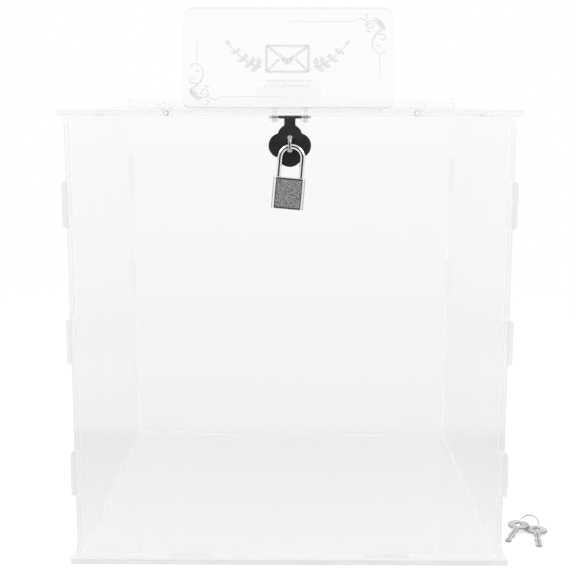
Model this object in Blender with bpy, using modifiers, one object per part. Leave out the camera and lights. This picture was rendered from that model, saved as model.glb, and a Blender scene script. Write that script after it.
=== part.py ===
"""Clear acrylic card box: tabbed sheet walls, hinged lid, strap hasp, small padlock, propped sign and keys.

Metres, +Z up. The origin is the centre of the base's underside, and the front of the box faces -Y.
"""
import math

import bmesh
import bpy
from mathutils import Vector

# Sheets and their clearances
SHEET = 0.003
FIT = 0.0003
PLATE_WIDTH = 0.260
PLATE_DEPTH = 0.260
WALL_HEIGHT = 0.2604
PLATE_CORNER = 0.0008
SIDE_INSET = 0.0035
FACE_INSET = 0.007
END_INSET = 0.004

# Tabs that pass through the slots of the next sheet
TAB_LENGTH = 0.027
TAB_PROUD = 0.0032
TAB_CORNER = 0.0022
WALL_TABS = 3
WALL_TAB_PITCH = 0.080
BASE_TAB_SPACING = 0.117

# Strip that stands above the lid at the rear, and the ears that hold its ends
STRIP_RISE = 0.0063
EAR_RISE = 0.007
EAR_DEPTH = 0.0095
EAR_CORNER = 0.0022
EAR_TAB = 0.0065

# Lid
LID_REAR_GAP = 0.0014
LID_EAR_GAP = 0.0008
CARD_SLOT_WIDTH = 0.200
CARD_SLOT_DEPTH = 0.016
CARD_SLOT_SETBACK = 0.125

# Hinges between the back wall and the lid
HINGE_INSET = 0.032
LEAF_WIDTH = 0.012
LEAF_THICKNESS = 0.0012
LID_LEAF_LENGTH = 0.0133
WALL_LEAF_DROP = 0.0054
KNUCKLE_RADIUS = 0.0017
MIDDLE_KNUCKLE = 0.004
PIN_RADIUS = 0.0006
PIN_CLEARANCE = 0.00015
PIN_HEAD_RADIUS = 0.0011
PIN_HEAD_HEIGHT = 0.0005
LID_SCREW_REACH = 0.0078
WALL_SCREW_DROP = 0.002

# Fasteners
SCREW_RADIUS = 0.001
SCREW_HEAD_RADIUS = 0.0017
SCREW_HEAD_HEIGHT = 0.0011
BOLT_RADIUS = 0.0012
BOLT_HEAD_RADIUS = 0.0022
BOLT_HEAD_HEIGHT = 0.0013
NUT_HEIGHT = 0.0018
NUT_WALL = 0.0011
THREAD_END = 0.0005

# Strap hasp: four round lobes at each end of a narrow neck
STRAP = 0.0014
LOBE_RADIUS = 0.007
LOBE_OFFSET = 0.005
NECK_WIDTH = 0.0063
STRAP_REACH = 0.0156
STRAP_SLOT_WIDTH = 0.0043
STRAP_SLOT_HEIGHT = 0.011
STRAP_SLOT_RISE = 0.0005
STRAP_SLOT_CORNER = 0.0009
HASP_BOLT_SPACING = 0.018
NOTCH_WIDTH = 0.0155
NOTCH_DEPTH = 0.0018

# Staple that the padlock hangs on, with the plate that backs it
STAPLE_WIRE = 0.001
STAPLE_SPAN = 0.0073
STAPLE_BEND = 0.0018
STAPLE_FREE = 0.0006
BACKING = 0.001
BACKING_WIDTH = 0.008
BACKING_MARGIN = 0.0034
BACKING_CORNER = 0.0012

# Padlock
SHACKLE_WIRE = 0.0015
SHACKLE_SPACING = 0.0128
SHACKLE_STRAIGHT = 0.0109
SHACKLE_SHIFT = 0.0012
LONG_LEG = 0.0125
SHORT_LEG = 0.0044
LEG_NOTCH = 0.0006
LEG_NOTCH_HEIGHT = 0.0018
LEG_NOTCH_RISE = 0.0014
CASE_WIDTH = 0.0180
CASE_HEIGHT = 0.0177
CASE_THICKNESS = 0.0084
CASE_CORNER = 0.0024
CASE_BEVEL = 0.0004
FACE_WIDTH = 0.0144
FACE_MARGIN = 0.0005
FACE_RECESS = 0.0008
PLUG_RADIUS = 0.0026
PLUG_LENGTH = 0.0075
KEYWAY_WIDTH = 0.0012
KEYWAY_LENGTH = 0.0040
KEYWAY_DEPTH = 0.0060
LOCK_TILT = 5.0

# Sign and the tongue that props it up
SIGN_WIDTH = 0.1262
SIGN_HEIGHT = 0.0662
SIGN_ASIDE = -0.0012
SIGN_CORNER = 0.006
SIGN_LEAN = 27.0
SIGN_SETBACK = 0.038
PROP_SLOT_RISE = 0.0157
PROP_TAB_WIDTH = 0.028
PROP_TAB_PROUD = 0.0008
PROP_WIDTH = 0.039
PROP_CORNER = 0.009
PROP_SHOULDER = 0.004

# Keys on their ring, lying beside the box; places are from the ring's middle
KEY_THICKNESS = 0.001
KEY_HEAD_LENGTH = 0.011
KEY_HEAD_WIDTH = 0.0136
KEY_HOLE_RADIUS = 0.00235
KEY_BLADE_WIDTH = 0.0036
KEY_BLADE_LENGTH = 0.0165
KEY_BITE = 0.0005
RING_RADIUS = 0.0058
RING_WIRE = 0.0004
RING_TILT = 42.0
RING_HIGH_SIDE = 73.0
RING_GAP_FROM_BASE = 0.0243
RING_SETBACK = 0.0562
LEFT_KEY_PLACE = (-0.00695, 0.0003)
LEFT_KEY_HEADING = 242.0
LEFT_KEY_ROLL = 2.0
LEFT_KEY_PITCH = 6.3
RIGHT_KEY_PLACE = (0.00355, -0.0047)
RIGHT_KEY_HEADING = 262.0
RIGHT_KEY_ROLL = 0.0
RIGHT_KEY_PITCH = 3.15

# Roundness of the facets, and the distance within which points of one corner are welded
ARC_STEPS = 4
LOBE_STEPS = 10
ROUND_STEPS = 20
TUBE_SIDES = 3
WELD = 0.000002

# Heights and faces that follow from the sizes above
WALL_FOOT = SHEET + FIT
WALL_TOP = WALL_FOOT + WALL_HEIGHT
LID_UNDERSIDE = WALL_TOP + FIT
LID_TOP = LID_UNDERSIDE + SHEET
HALF_PLATE = PLATE_WIDTH / 2
FRONT_EDGE = -PLATE_DEPTH / 2
REAR_EDGE = PLATE_DEPTH / 2
SIDE_OUTER = HALF_PLATE - SIDE_INSET
SIDE_INNER = SIDE_OUTER - SHEET
FRONT_OUTER = FRONT_EDGE + FACE_INSET
FRONT_INNER = FRONT_OUTER + SHEET
BACK_OUTER = REAR_EDGE - FACE_INSET
BACK_INNER = BACK_OUTER - SHEET
HINGE_X = HALF_PLATE - HINGE_INSET
HINGE_Z = LID_TOP + FIT + KNUCKLE_RADIUS
WALL_LEAF_FACE = BACK_INNER - FIT - LEAF_THICKNESS
HINGE_Y = WALL_LEAF_FACE - LEAF_THICKNESS
FOLD_Y = FRONT_OUTER - FIT - STRAP / 2
FOLD_Z = LID_UNDERSIDE - FIT - STRAP / 2
SLOT_CENTRE_Z = FOLD_Z - STRAP_REACH + STRAP_SLOT_RISE
LOCK_Y = FRONT_OUTER - FIT - CASE_THICKNESS / 2
LOCK_Z = SLOT_CENTRE_Z - STAPLE_SPAN / 2

SIDES = ("left", "right")

parts = None
cutters = None


def collection(name):
    """New collection in the scene."""
    made = bpy.data.collections.new(name)
    bpy.context.scene.collection.children.link(made)
    return made


def finish(name, colour, roughness, metallic=0.0, transmission=0.0):
    """Material for one sub-part."""
    made = bpy.data.materials.new(name)
    made.use_nodes = True
    shader = made.node_tree.nodes["Principled BSDF"]
    shader.inputs["Base Color"].default_value = (*colour, 1.0)
    shader.inputs["Roughness"].default_value = roughness
    shader.inputs["Metallic"].default_value = metallic
    shader.inputs["Transmission Weight"].default_value = transmission
    return made


def clear(name):
    """Clear polished acrylic."""
    return finish(name, (0.94, 0.96, 0.96), 0.04, transmission=0.9)


def steel(name):
    """Plated steel of the small fasteners."""
    return finish("plated_" + name, (0.72, 0.72, 0.71), 0.22, metallic=1.0)


def nylon(name):
    """Clear nylon of the hasp's fasteners."""
    return finish("nylon_" + name, (0.9, 0.92, 0.92), 0.2, transmission=0.7)


def add(name, mesh, look, home=None):
    """New object for a mesh, with its material."""
    made = bpy.data.objects.new(name, mesh)
    (home or parts).objects.link(made)
    if look is not None:
        mesh.materials.append(look)
    return made


def pivot(name, place, turn=(0.0, 0.0, 0.0)):
    """Empty on a joint's axis that moving pieces hang on."""
    made = bpy.data.objects.new(name, None)
    parts.objects.link(made)
    made.location = place
    made.rotation_euler = [math.radians(angle) for angle in turn]
    return made


def hang(child, parent):
    """Parents a piece that is placed in world coordinates, and leaves it where it is."""
    child.parent = parent
    child.matrix_parent_inverse = parent.matrix_basis.inverted()
    return child


def arc(centre, radius, start, end, steps):
    """Points on an arc between two angles in degrees, both ends included."""
    angles = [math.radians(start + (end - start) * k / steps) for k in range(steps + 1)]
    return [(centre[0] + radius * math.cos(a), centre[1] + radius * math.sin(a)) for a in angles]


def circle(centre, radius, steps=ROUND_STEPS):
    """Closed round outline."""
    return arc(centre, radius, 0.0, 360.0, steps)[:-1]


def box_outline(centre, width, height):
    """Closed rectangular outline."""
    x, y = centre
    return [(x + sx * width / 2, y + sy * height / 2) for sx, sy in ((-1, -1), (1, -1), (1, 1), (-1, 1))]


def rounded(corners, steps=ARC_STEPS):
    """Outline through corners (x, y, radius), each with an arc of its radius."""
    points = []
    for k, (x, y, radius) in enumerate(corners):
        here = Vector((x, y))
        if radius == 0:
            points.append((x, y))
            continue
        before = (Vector(corners[k - 1][:2]) - here).normalized()
        after = (Vector(corners[(k + 1) % len(corners)][:2]) - here).normalized()
        half = before.angle(after) / 2
        centre = here + (before + after).normalized() * (radius / math.sin(half))
        first = here + before * (radius / math.tan(half)) - centre
        last = here + after * (radius / math.tan(half)) - centre
        turn = math.atan2(first.x * last.y - first.y * last.x, first.dot(last))
        begin = math.degrees(math.atan2(first.y, first.x))
        points += arc(centre, radius, begin, begin + math.degrees(turn), steps)
    return points


def rounded_box(centre, width, height, radius, steps=ARC_STEPS):
    """Closed rectangular outline with round corners."""
    return rounded([(x, y, radius) for x, y in box_outline(centre, width, height)], steps)


def mirrored(half):
    """Closed outline from the corners of its right half, listed from bottom to top."""
    return half + [(-x, y, radius) for x, y, radius in reversed(half)]


def welded(name, curve, look):
    """Object for a curve's closed surface, with its caps welded on."""
    guide = bpy.data.objects.new(name + "_guide", curve)
    parts.objects.link(guide)
    bpy.context.view_layer.update()
    mesh = bpy.data.meshes.new_from_object(guide.evaluated_get(bpy.context.evaluated_depsgraph_get()))
    bpy.data.objects.remove(guide)
    mesh.name = name
    shape = bmesh.new()
    shape.from_mesh(mesh)
    bmesh.ops.remove_doubles(shape, verts=shape.verts, dist=WELD)
    bmesh.ops.recalc_face_normals(shape, faces=shape.faces)
    shape.to_mesh(mesh)
    shape.free()
    mesh.materials.clear()
    return add(name, mesh, look)


def plate(name, outline, thickness, look, holes=()):
    """Flat sheet in its local XY plane, half its thickness to either side."""
    curve = bpy.data.curves.new(name, "CURVE")
    curve.dimensions = "2D"
    curve.fill_mode = "BOTH"
    curve.extrude = thickness / 2
    for loop in (outline, *holes):
        spline = curve.splines.new("POLY")
        spline.points.add(len(loop) - 1)
        for point, (x, y) in zip(spline.points, loop):
            point.co = (x, y, 0.0, 1.0)
        spline.use_cyclic_u = True
    return welded(name, curve, look)


def wire(name, route, radius, look, closed=False):
    """Round wire along a route of points."""
    curve = bpy.data.curves.new(name, "CURVE")
    curve.dimensions = "3D"
    curve.bevel_depth = radius
    curve.bevel_resolution = TUBE_SIDES
    curve.use_fill_caps = not closed
    spline = curve.splines.new("POLY")
    spline.points.add(len(route) - 1)
    for point, place in zip(spline.points, route):
        point.co = (*place, 1.0)
    spline.use_cyclic_u = closed
    made = welded(name, curve, look)
    made.data.shade_smooth()
    made.data.set_sharp_from_angle(angle=math.radians(40))
    return made


def turned(name, profile, look, home=None):
    """Round piece about its local Z axis, from a profile that runs down its outer side."""
    mesh = bpy.data.meshes.new(name)
    shape = bmesh.new()
    points = [shape.verts.new((radius, 0.0, height)) for radius, height in profile]
    for first, second in zip(points, points[1:]):
        shape.edges.new((first, second))
    shape.to_mesh(mesh)
    shape.free()
    made = add(name, mesh, look, home)
    spin = made.modifiers.new("turn", "SCREW")
    spin.axis = "Z"
    spin.steps = ROUND_STEPS
    spin.render_steps = ROUND_STEPS
    spin.use_merge_vertices = True
    spin.merge_threshold = WELD
    return made


def boolean(target, tool, operation="DIFFERENCE"):
    """Cuts a tool out of a piece, or adds it, and puts the tool with the cutters."""
    for home in list(tool.users_collection):
        home.objects.unlink(tool)
    cutters.objects.link(tool)
    tool.hide_render = True
    tool.display_type = "WIRE"
    change = target.modifiers.new(operation.lower(), "BOOLEAN")
    change.operation = operation
    change.solver = "EXACT"
    change.object = tool
    return target


def block(name, low, high):
    """Box-shaped cutter between two corners."""
    mesh = bpy.data.meshes.new(name)
    shape = bmesh.new()
    bmesh.ops.create_cube(shape, size=1.0)
    size = [b - a for a, b in zip(low, high)]
    bmesh.ops.scale(shape, vec=size, verts=shape.verts)
    bmesh.ops.translate(shape, vec=[(a + b) / 2 for a, b in zip(low, high)], verts=shape.verts)
    shape.to_mesh(mesh)
    shape.free()
    return add(name, mesh, None, cutters)


def rod(name, radius, bottom, top):
    """Round cutter about its local Z axis."""
    profile = [(0.0, top), (radius, top), (radius, bottom), (0.0, bottom)]
    return turned(name, profile, None, cutters)


def side_tabs(inner, outer, centres, length, corner):
    """Corners of the tabs up the right-hand edge of a wall."""
    corners = []
    for centre in centres:
        low, high = centre - length / 2, centre + length / 2
        corners += [(inner, low, 0), (outer, low, corner), (outer, high, corner), (inner, high, 0)]
    return corners


def foot_tab(centre):
    """Corners of a tab on a wall's lower edge, which ends just above the floor."""
    left, right = centre - TAB_LENGTH / 2, centre + TAB_LENGTH / 2
    return [(left, WALL_FOOT, 0), (left, FIT, 0), (right, FIT, 0), (right, WALL_FOOT, 0)]


def wall_tab_heights():
    """Heights of the tabs' middles, evenly spaced about the wall's middle."""
    middle = WALL_FOOT + WALL_HEIGHT / 2
    return [middle + (k - (WALL_TABS - 1) / 2) * WALL_TAB_PITCH for k in range(WALL_TABS)]


def slot(centre, length, along):
    """Slot for a tab, with the clearance all round; it runs along 0, the first axis, or 1."""
    sizes = [SHEET + 2 * FIT, SHEET + 2 * FIT]
    sizes[along] = length + 2 * FIT
    return box_outline(centre, *sizes)


def front_wall_middle():
    return (FRONT_OUTER + FRONT_INNER) / 2


def back_wall_middle():
    return (BACK_OUTER + BACK_INNER) / 2


def side_wall_middle():
    return (SIDE_OUTER + SIDE_INNER) / 2


def ear_tab_height():
    """Middle of the strip's end tab, halfway between the lid's underside and the strip's top."""
    return (LID_UNDERSIDE + LID_TOP + STRIP_RISE) / 2


def base_panel():
    """Floor of the box, with a slot for every foot tab."""
    half = BASE_TAB_SPACING / 2
    across = (front_wall_middle(), back_wall_middle())
    along = (-side_wall_middle(), side_wall_middle())
    holes = [slot((x, y), TAB_LENGTH, 0) for x in (-half, half) for y in across]
    holes += [slot((x, y), TAB_LENGTH, 1) for x in along for y in (-half, half)]
    outline = rounded_box((0, 0), PLATE_WIDTH, PLATE_DEPTH, PLATE_CORNER, 2)
    made = plate("base_panel", outline, SHEET, clear("clear_base"), holes)
    made.location.z = SHEET / 2
    return made


def upright(made, y):
    """Stands a plate that was drawn in X and Z across the box."""
    made.rotation_euler.x = math.pi / 2
    made.location.y = y
    return made


def front_panel():
    """Front wall, notched at its top for the strap and drilled for the staple."""
    inner, outer = SIDE_INNER - FIT, SIDE_OUTER + TAB_PROUD
    half = foot_tab(BASE_TAB_SPACING / 2) + [(inner, WALL_FOOT, 0)]
    half += side_tabs(inner, outer, wall_tab_heights(), TAB_LENGTH, TAB_CORNER)
    half += [(inner, WALL_TOP, 0), (NOTCH_WIDTH / 2, WALL_TOP, 0)]
    half += [(NOTCH_WIDTH / 2, WALL_TOP - NOTCH_DEPTH, 0)]
    holes = [circle((0, z), STAPLE_WIRE + FIT) for z in staple_heights()]
    made = plate("front_panel", rounded(mirrored(half)), SHEET, clear("clear_front"), holes)
    return upright(made, front_wall_middle())


def back_panel():
    """Back wall, whose top stands above the lid and ends flush in the ears."""
    inner, outer = SIDE_INNER - FIT, SIDE_OUTER + TAB_PROUD
    half = foot_tab(BASE_TAB_SPACING / 2) + [(inner, WALL_FOOT, 0)]
    half += side_tabs(inner, outer, wall_tab_heights(), TAB_LENGTH, TAB_CORNER)
    half += side_tabs(inner, SIDE_OUTER, [ear_tab_height()], EAR_TAB, 0)
    half += [(inner, LID_TOP + STRIP_RISE, 0)]
    holes = [circle((x, LID_UNDERSIDE - WALL_SCREW_DROP), SCREW_RADIUS + FIT) for x in hinge_places()]
    made = plate("back_panel", rounded(mirrored(half)), SHEET, clear("clear_back"), holes)
    return upright(made, back_wall_middle())


def side_panel(name, side):
    """Side wall with an ear at the rear, drawn in Y and Z."""
    front, rear = FRONT_EDGE + END_INSET, REAR_EDGE - END_INSET
    half = BASE_TAB_SPACING / 2
    outline = [(front, WALL_FOOT, 0)] + foot_tab(-half) + foot_tab(half) + [(rear, WALL_FOOT, 0)]
    ear_top = LID_TOP + EAR_RISE
    outline += [(rear, ear_top, EAR_CORNER), (rear - EAR_DEPTH, ear_top, EAR_CORNER)]
    outline += [(rear - EAR_DEPTH, WALL_TOP, 0), (front, WALL_TOP, 0)]
    walls = (front_wall_middle(), back_wall_middle())
    holes = [slot((y, z), TAB_LENGTH, 1) for y in walls for z in wall_tab_heights()]
    holes.append(slot((back_wall_middle(), ear_tab_height()), EAR_TAB, 1))
    made = plate(name, rounded(outline), SHEET, clear("clear_" + name), holes)
    made.rotation_euler = (math.pi / 2, 0.0, math.pi / 2)
    made.location.x = side * side_wall_middle()
    return made


def lid_panel():
    """Lid, cut back at its rear corners for the ears and at the hinges for their wall leaves."""
    rear = BACK_INNER - LID_REAR_GAP
    ear_front = REAR_EDGE - END_INSET - EAR_DEPTH - LID_EAR_GAP
    waist = SIDE_INNER - LID_EAR_GAP
    leaf_edge = WALL_LEAF_FACE - FIT - FIT
    near = HINGE_X - LEAF_WIDTH / 2 - LID_EAR_GAP
    far = HINGE_X + LEAF_WIDTH / 2 + LID_EAR_GAP
    half = [(HALF_PLATE, FRONT_EDGE, PLATE_CORNER), (HALF_PLATE, ear_front, PLATE_CORNER)]
    half += [(waist, ear_front, 0), (waist, rear, 0)]
    half += [(far, rear, 0), (far, leaf_edge, 0), (near, leaf_edge, 0), (near, rear, 0)]
    card_slot = rounded_box((0, FRONT_EDGE + CARD_SLOT_SETBACK), CARD_SLOT_WIDTH, CARD_SLOT_DEPTH,
                            CARD_SLOT_DEPTH / 2 - FIT)
    holes = [card_slot]
    holes += [circle(place, BOLT_RADIUS + FIT) for place in hasp_bolt_places()]
    holes += [circle((x, lid_screw_y()), SCREW_RADIUS + FIT) for x in hinge_places()]
    made = plate("lid_panel", rounded(mirrored(half)), SHEET, clear("clear_lid"), holes)
    made.location.z = LID_UNDERSIDE + SHEET / 2
    return made


def hinge_places():
    return (-HINGE_X, HINGE_X)


def lid_screw_y():
    return HINGE_Y - LID_SCREW_REACH


def lengthwise(made, x):
    """Turns a profile drawn in Y and Z so that it runs along X."""
    made.rotation_euler = (math.pi / 2, 0.0, math.pi / 2)
    made.location.x = x
    return made


def wall_leaf(name, x):
    """Leaf on the back wall's inner face, with a knuckle at each end of its top edge."""
    face, back = WALL_LEAF_FACE, WALL_LEAF_FACE + LEAF_THICKNESS
    top = HINGE_Z + KNUCKLE_RADIUS
    reach = face - HINGE_Y
    begin = -math.degrees(math.acos(reach / KNUCKLE_RADIUS))
    outline = [(face, LID_UNDERSIDE - WALL_LEAF_DROP)]
    outline += arc((HINGE_Y, HINGE_Z), KNUCKLE_RADIUS, begin, -270.0, ROUND_STEPS)
    outline += [(back, top), (back, LID_UNDERSIDE - WALL_LEAF_DROP)]
    bore = circle((HINGE_Y, HINGE_Z), PIN_RADIUS + PIN_CLEARANCE, 12)
    made = lengthwise(plate(name, outline, LEAF_WIDTH, clear("clear_" + name), [bore]), x)
    gap = MIDDLE_KNUCKLE / 2 + FIT
    low = (x - gap, HINGE_Y - 2 * KNUCKLE_RADIUS, HINGE_Z - KNUCKLE_RADIUS - FIT)
    boolean(made, block(name + "_gap", low, (x + gap, back + SHEET, top + SHEET)))
    hole = rod(name + "_hole", SCREW_RADIUS + FIT, -SHEET, SHEET)
    hole.location = (x, face, LID_UNDERSIDE - WALL_SCREW_DROP)
    hole.rotation_euler.x = math.pi / 2
    return boolean(made, hole)


def lid_leaf(name, x):
    """Leaf on the lid's top, with one knuckle in the middle of its rear edge."""
    low, high = HINGE_Z - KNUCKLE_RADIUS, HINGE_Z - KNUCKLE_RADIUS + LEAF_THICKNESS
    end = 180.0 + math.degrees(math.asin((HINGE_Z - high) / KNUCKLE_RADIUS))
    front = HINGE_Y - LID_LEAF_LENGTH
    outline = [(front, low)] + arc((HINGE_Y, HINGE_Z), KNUCKLE_RADIUS, -90.0, end, ROUND_STEPS)
    outline += [(front, high)]
    bore = circle((HINGE_Y, HINGE_Z), PIN_RADIUS + PIN_CLEARANCE, 12)
    made = lengthwise(plate(name, outline, LEAF_WIDTH, clear("clear_" + name), [bore]), x)
    edge = HINGE_Y - KNUCKLE_RADIUS - FIT
    for side in (-1, 1):
        ends = sorted((x + side * MIDDLE_KNUCKLE / 2, x + side * LEAF_WIDTH))
        corner = (ends[0], edge, low - SHEET), (ends[1], HINGE_Y + SHEET, HINGE_Z + SHEET)
        boolean(made, block(f"{name}_gap_{side}", *corner))
    hole = rod(name + "_hole", SCREW_RADIUS + FIT, -SHEET, SHEET)
    hole.location = (x, lid_screw_y(), low)
    return boolean(made, hole)


def hinge_pin(name, x):
    """Pin with a small head at each end."""
    half = LEAF_WIDTH / 2 + FIT
    profile = [(0.0, half + PIN_HEAD_HEIGHT), (PIN_HEAD_RADIUS * 0.7, half + PIN_HEAD_HEIGHT)]
    profile += [(PIN_HEAD_RADIUS, half + PIN_HEAD_HEIGHT / 2), (PIN_HEAD_RADIUS, half), (PIN_RADIUS, half)]
    profile += [(radius, -height) for radius, height in reversed(profile)]
    made = turned(name, profile, steel(name))
    made.location = (x, HINGE_Y, HINGE_Z)
    made.rotation_euler.y = math.pi / 2
    return made


def screw(name, place, turn, grip, size, look=steel):
    """Pan-head screw: its head's seat is at the place, and its shank runs down its local Z axis."""
    radius, head_radius, head_height = size
    dome = arc((head_radius - head_height * 0.6, head_height * 0.4), head_height * 0.6, 90.0, 0.0, ARC_STEPS)
    profile = [(0.0, head_height)] + dome + [(head_radius, 0.0), (radius, 0.0)]
    profile += [(radius, -grip + THREAD_END), (radius - THREAD_END, -grip), (0.0, -grip)]
    made = turned(name, profile, look(name))
    made.location = place
    made.rotation_euler = [math.radians(angle) for angle in turn]
    return made


def nut(name, place, turn, bore, look=steel):
    """Hexagon nut with its middle at the place, round its local Z axis."""
    across = 2 * (bore + NUT_WALL)
    outline = [(across / math.sqrt(3) * math.cos(math.radians(60 * k)),
                across / math.sqrt(3) * math.sin(math.radians(60 * k))) for k in range(6)]
    made = plate(name, outline, NUT_HEIGHT, look(name), [circle((0, 0), bore, 12)])
    made.location = place
    made.rotation_euler = [math.radians(angle) for angle in turn]
    return made


def hinge_fasteners(side, x):
    """Screws and nuts of one hinge: through the back wall, and through the lid."""
    wall_z = LID_UNDERSIDE - WALL_SCREW_DROP
    size = (SCREW_RADIUS, SCREW_HEAD_RADIUS, SCREW_HEAD_HEIGHT)
    bore = SCREW_RADIUS + FIT
    wall_seat = WALL_LEAF_FACE - FIT
    wall_nut = BACK_OUTER + FIT + NUT_HEIGHT / 2
    wall_grip = wall_nut + NUT_HEIGHT / 2 + THREAD_END - wall_seat
    screw("hinge_wall_screw_" + side, (x, wall_seat, wall_z), (90, 0, 0), wall_grip, size)
    nut("hinge_wall_nut_" + side, (x, wall_nut, wall_z), (90, 0, 0), bore)
    lid_seat = HINGE_Z - KNUCKLE_RADIUS + LEAF_THICKNESS + FIT
    lid_nut = LID_UNDERSIDE - FIT - NUT_HEIGHT / 2
    lid_grip = lid_seat - lid_nut + NUT_HEIGHT / 2 + THREAD_END
    return (screw("hinge_lid_screw_" + side, (x, lid_screw_y(), lid_seat), (0, 0, 0), lid_grip, size),
            nut("hinge_lid_nut_" + side, (x, lid_screw_y(), lid_nut), (0, 0, 0), bore))


def hasp_bolt_places():
    y = FOLD_Y + STRAP_REACH
    return ((-HASP_BOLT_SPACING / 2, y), (HASP_BOLT_SPACING / 2, y))


def four_lobes(neck_end):
    """Outline of four discs round the origin, with a neck up from the top one."""
    meet = (LOBE_OFFSET + math.sqrt(2 * LOBE_RADIUS ** 2 - LOBE_OFFSET ** 2)) / 2
    spread = math.degrees(math.atan2(meet, meet - LOBE_OFFSET))
    neck = math.degrees(math.acos(NECK_WIDTH / 2 / LOBE_RADIUS))
    c, r = LOBE_OFFSET, LOBE_RADIUS
    outline = [(-NECK_WIDTH / 2, neck_end)]
    outline += arc((0, c), r, 180 - neck, 90 + spread, LOBE_STEPS // 2)[:-1]
    outline += arc((-c, 0), r, 180 - spread, 180 + spread, LOBE_STEPS)[:-1]
    outline += arc((0, -c), r, 270 - spread, 270 + spread, LOBE_STEPS)[:-1]
    outline += arc((c, 0), r, -spread, spread, LOBE_STEPS)[:-1]
    outline += arc((0, c), r, 90 - spread, neck, LOBE_STEPS // 2)
    return outline + [(NECK_WIDTH / 2, neck_end)]


def strap_look(name):
    """Black plastic of the strap and the staple's backing."""
    return finish(name, (0.018, 0.018, 0.019), 0.5)


def hasp_lid_half():
    """Half of the strap under the lid, which passes over the front wall in its notch."""
    holes = [circle((x, 0), BOLT_RADIUS + FIT) for x in (-HASP_BOLT_SPACING / 2, HASP_BOLT_SPACING / 2)]
    neck_end = STRAP_REACH - STRAP / 2 - FIT
    made = plate("hasp_lid_half", four_lobes(neck_end), STRAP, strap_look("strap_lid_half"), holes)
    made.rotation_euler.z = math.pi
    made.location = (0.0, FOLD_Y + STRAP_REACH, FOLD_Z)
    return made


def hasp_flap():
    """Half of the strap that hangs over the front wall, slotted for the staple."""
    hole = rounded_box((0, STRAP_SLOT_RISE), STRAP_SLOT_WIDTH, STRAP_SLOT_HEIGHT, STRAP_SLOT_CORNER)
    made = plate("hasp_flap", four_lobes(STRAP_REACH), STRAP, strap_look("strap_flap"), [hole])
    upright(made, FOLD_Y)
    made.location.z = FOLD_Z - STRAP_REACH
    roll = rod("hasp_fold_roll", STRAP / 2, -NECK_WIDTH / 2, NECK_WIDTH / 2)
    roll.location = (0.0, FOLD_Y, FOLD_Z)
    roll.rotation_euler.y = math.pi / 2
    return boolean(made, roll, "UNION")


def hasp_fasteners():
    """Bolts through the lid and the strap, and the nuts under them."""
    seat = LID_TOP + FIT
    nut_z = FOLD_Z - STRAP / 2 - FIT - NUT_HEIGHT / 2
    grip = seat - nut_z + NUT_HEIGHT / 2 + THREAD_END
    size = (BOLT_RADIUS, BOLT_HEAD_RADIUS, BOLT_HEAD_HEIGHT)
    made = []
    for side, (x, y) in zip(SIDES, hasp_bolt_places()):
        made.append(screw("hasp_bolt_" + side, (x, y, seat), (0, 0, 0), grip, size, nylon))
        made.append(nut("hasp_nut_" + side, (x, y, nut_z), (0, 0, 0), BOLT_RADIUS + FIT, nylon))
    return made


def staple_heights():
    return (SLOT_CENTRE_Z - STAPLE_SPAN / 2, SLOT_CENTRE_Z + STAPLE_SPAN / 2)


def staple_nut_y():
    return FRONT_INNER + FIT + BACKING + FIT + NUT_HEIGHT / 2


def staple_backing():
    """Plate against the front wall's inner face, which shows dark through the strap's slot."""
    height = STAPLE_SPAN + 2 * BACKING_MARGIN
    outline = rounded_box((0, SLOT_CENTRE_Z), BACKING_WIDTH, height, BACKING_CORNER)
    holes = [circle((0, z), STAPLE_WIRE + FIT) for z in staple_heights()]
    made = plate("staple_backing", outline, BACKING, strap_look("black_staple_backing"), holes)
    return upright(made, FRONT_INNER + FIT + BACKING / 2)


def staple():
    """Wire loop through the front wall, with room for the shackle in front of the strap."""
    tip = LOCK_Y - SHACKLE_WIRE - STAPLE_FREE - STAPLE_WIRE
    inside = staple_nut_y() + NUT_HEIGHT / 2 + THREAD_END
    low, high = staple_heights()
    corners = arc((tip + STAPLE_BEND, low + STAPLE_BEND), STAPLE_BEND, 270.0, 180.0, ARC_STEPS)
    corners += arc((tip + STAPLE_BEND, high - STAPLE_BEND), STAPLE_BEND, 180.0, 90.0, ARC_STEPS)
    route = [(0.0, inside, low)] + [(0.0, y, z) for y, z in corners] + [(0.0, inside, high)]
    return wire("staple", route, STAPLE_WIRE, finish("bright_staple", (0.8, 0.8, 0.8), 0.1, metallic=1.0))


def staple_nuts():
    """Nuts on the two ends of the staple, against the plate that backs it."""
    for name, z in zip(("staple_nut_lower", "staple_nut_upper"), staple_heights()):
        nut(name, (0, staple_nut_y(), z), (90, 0, 0), STAPLE_WIRE + FIT)


def bow_centre():
    """Middle of the shackle's bow in the lock's own frame, whose origin is in the staple's lower leg."""
    inner = SHACKLE_SPACING / 2 - SHACKLE_WIRE
    rest = STAPLE_WIRE + FIT
    return SHACKLE_SHIFT, rest - math.sqrt(inner ** 2 - SHACKLE_SHIFT ** 2)


def case_top():
    return bow_centre()[1] - SHACKLE_STRAIGHT


def leg_places():
    """The long leg on the left and the short one on the right."""
    middle = bow_centre()[0]
    return middle - SHACKLE_SPACING / 2, middle + SHACKLE_SPACING / 2


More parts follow.
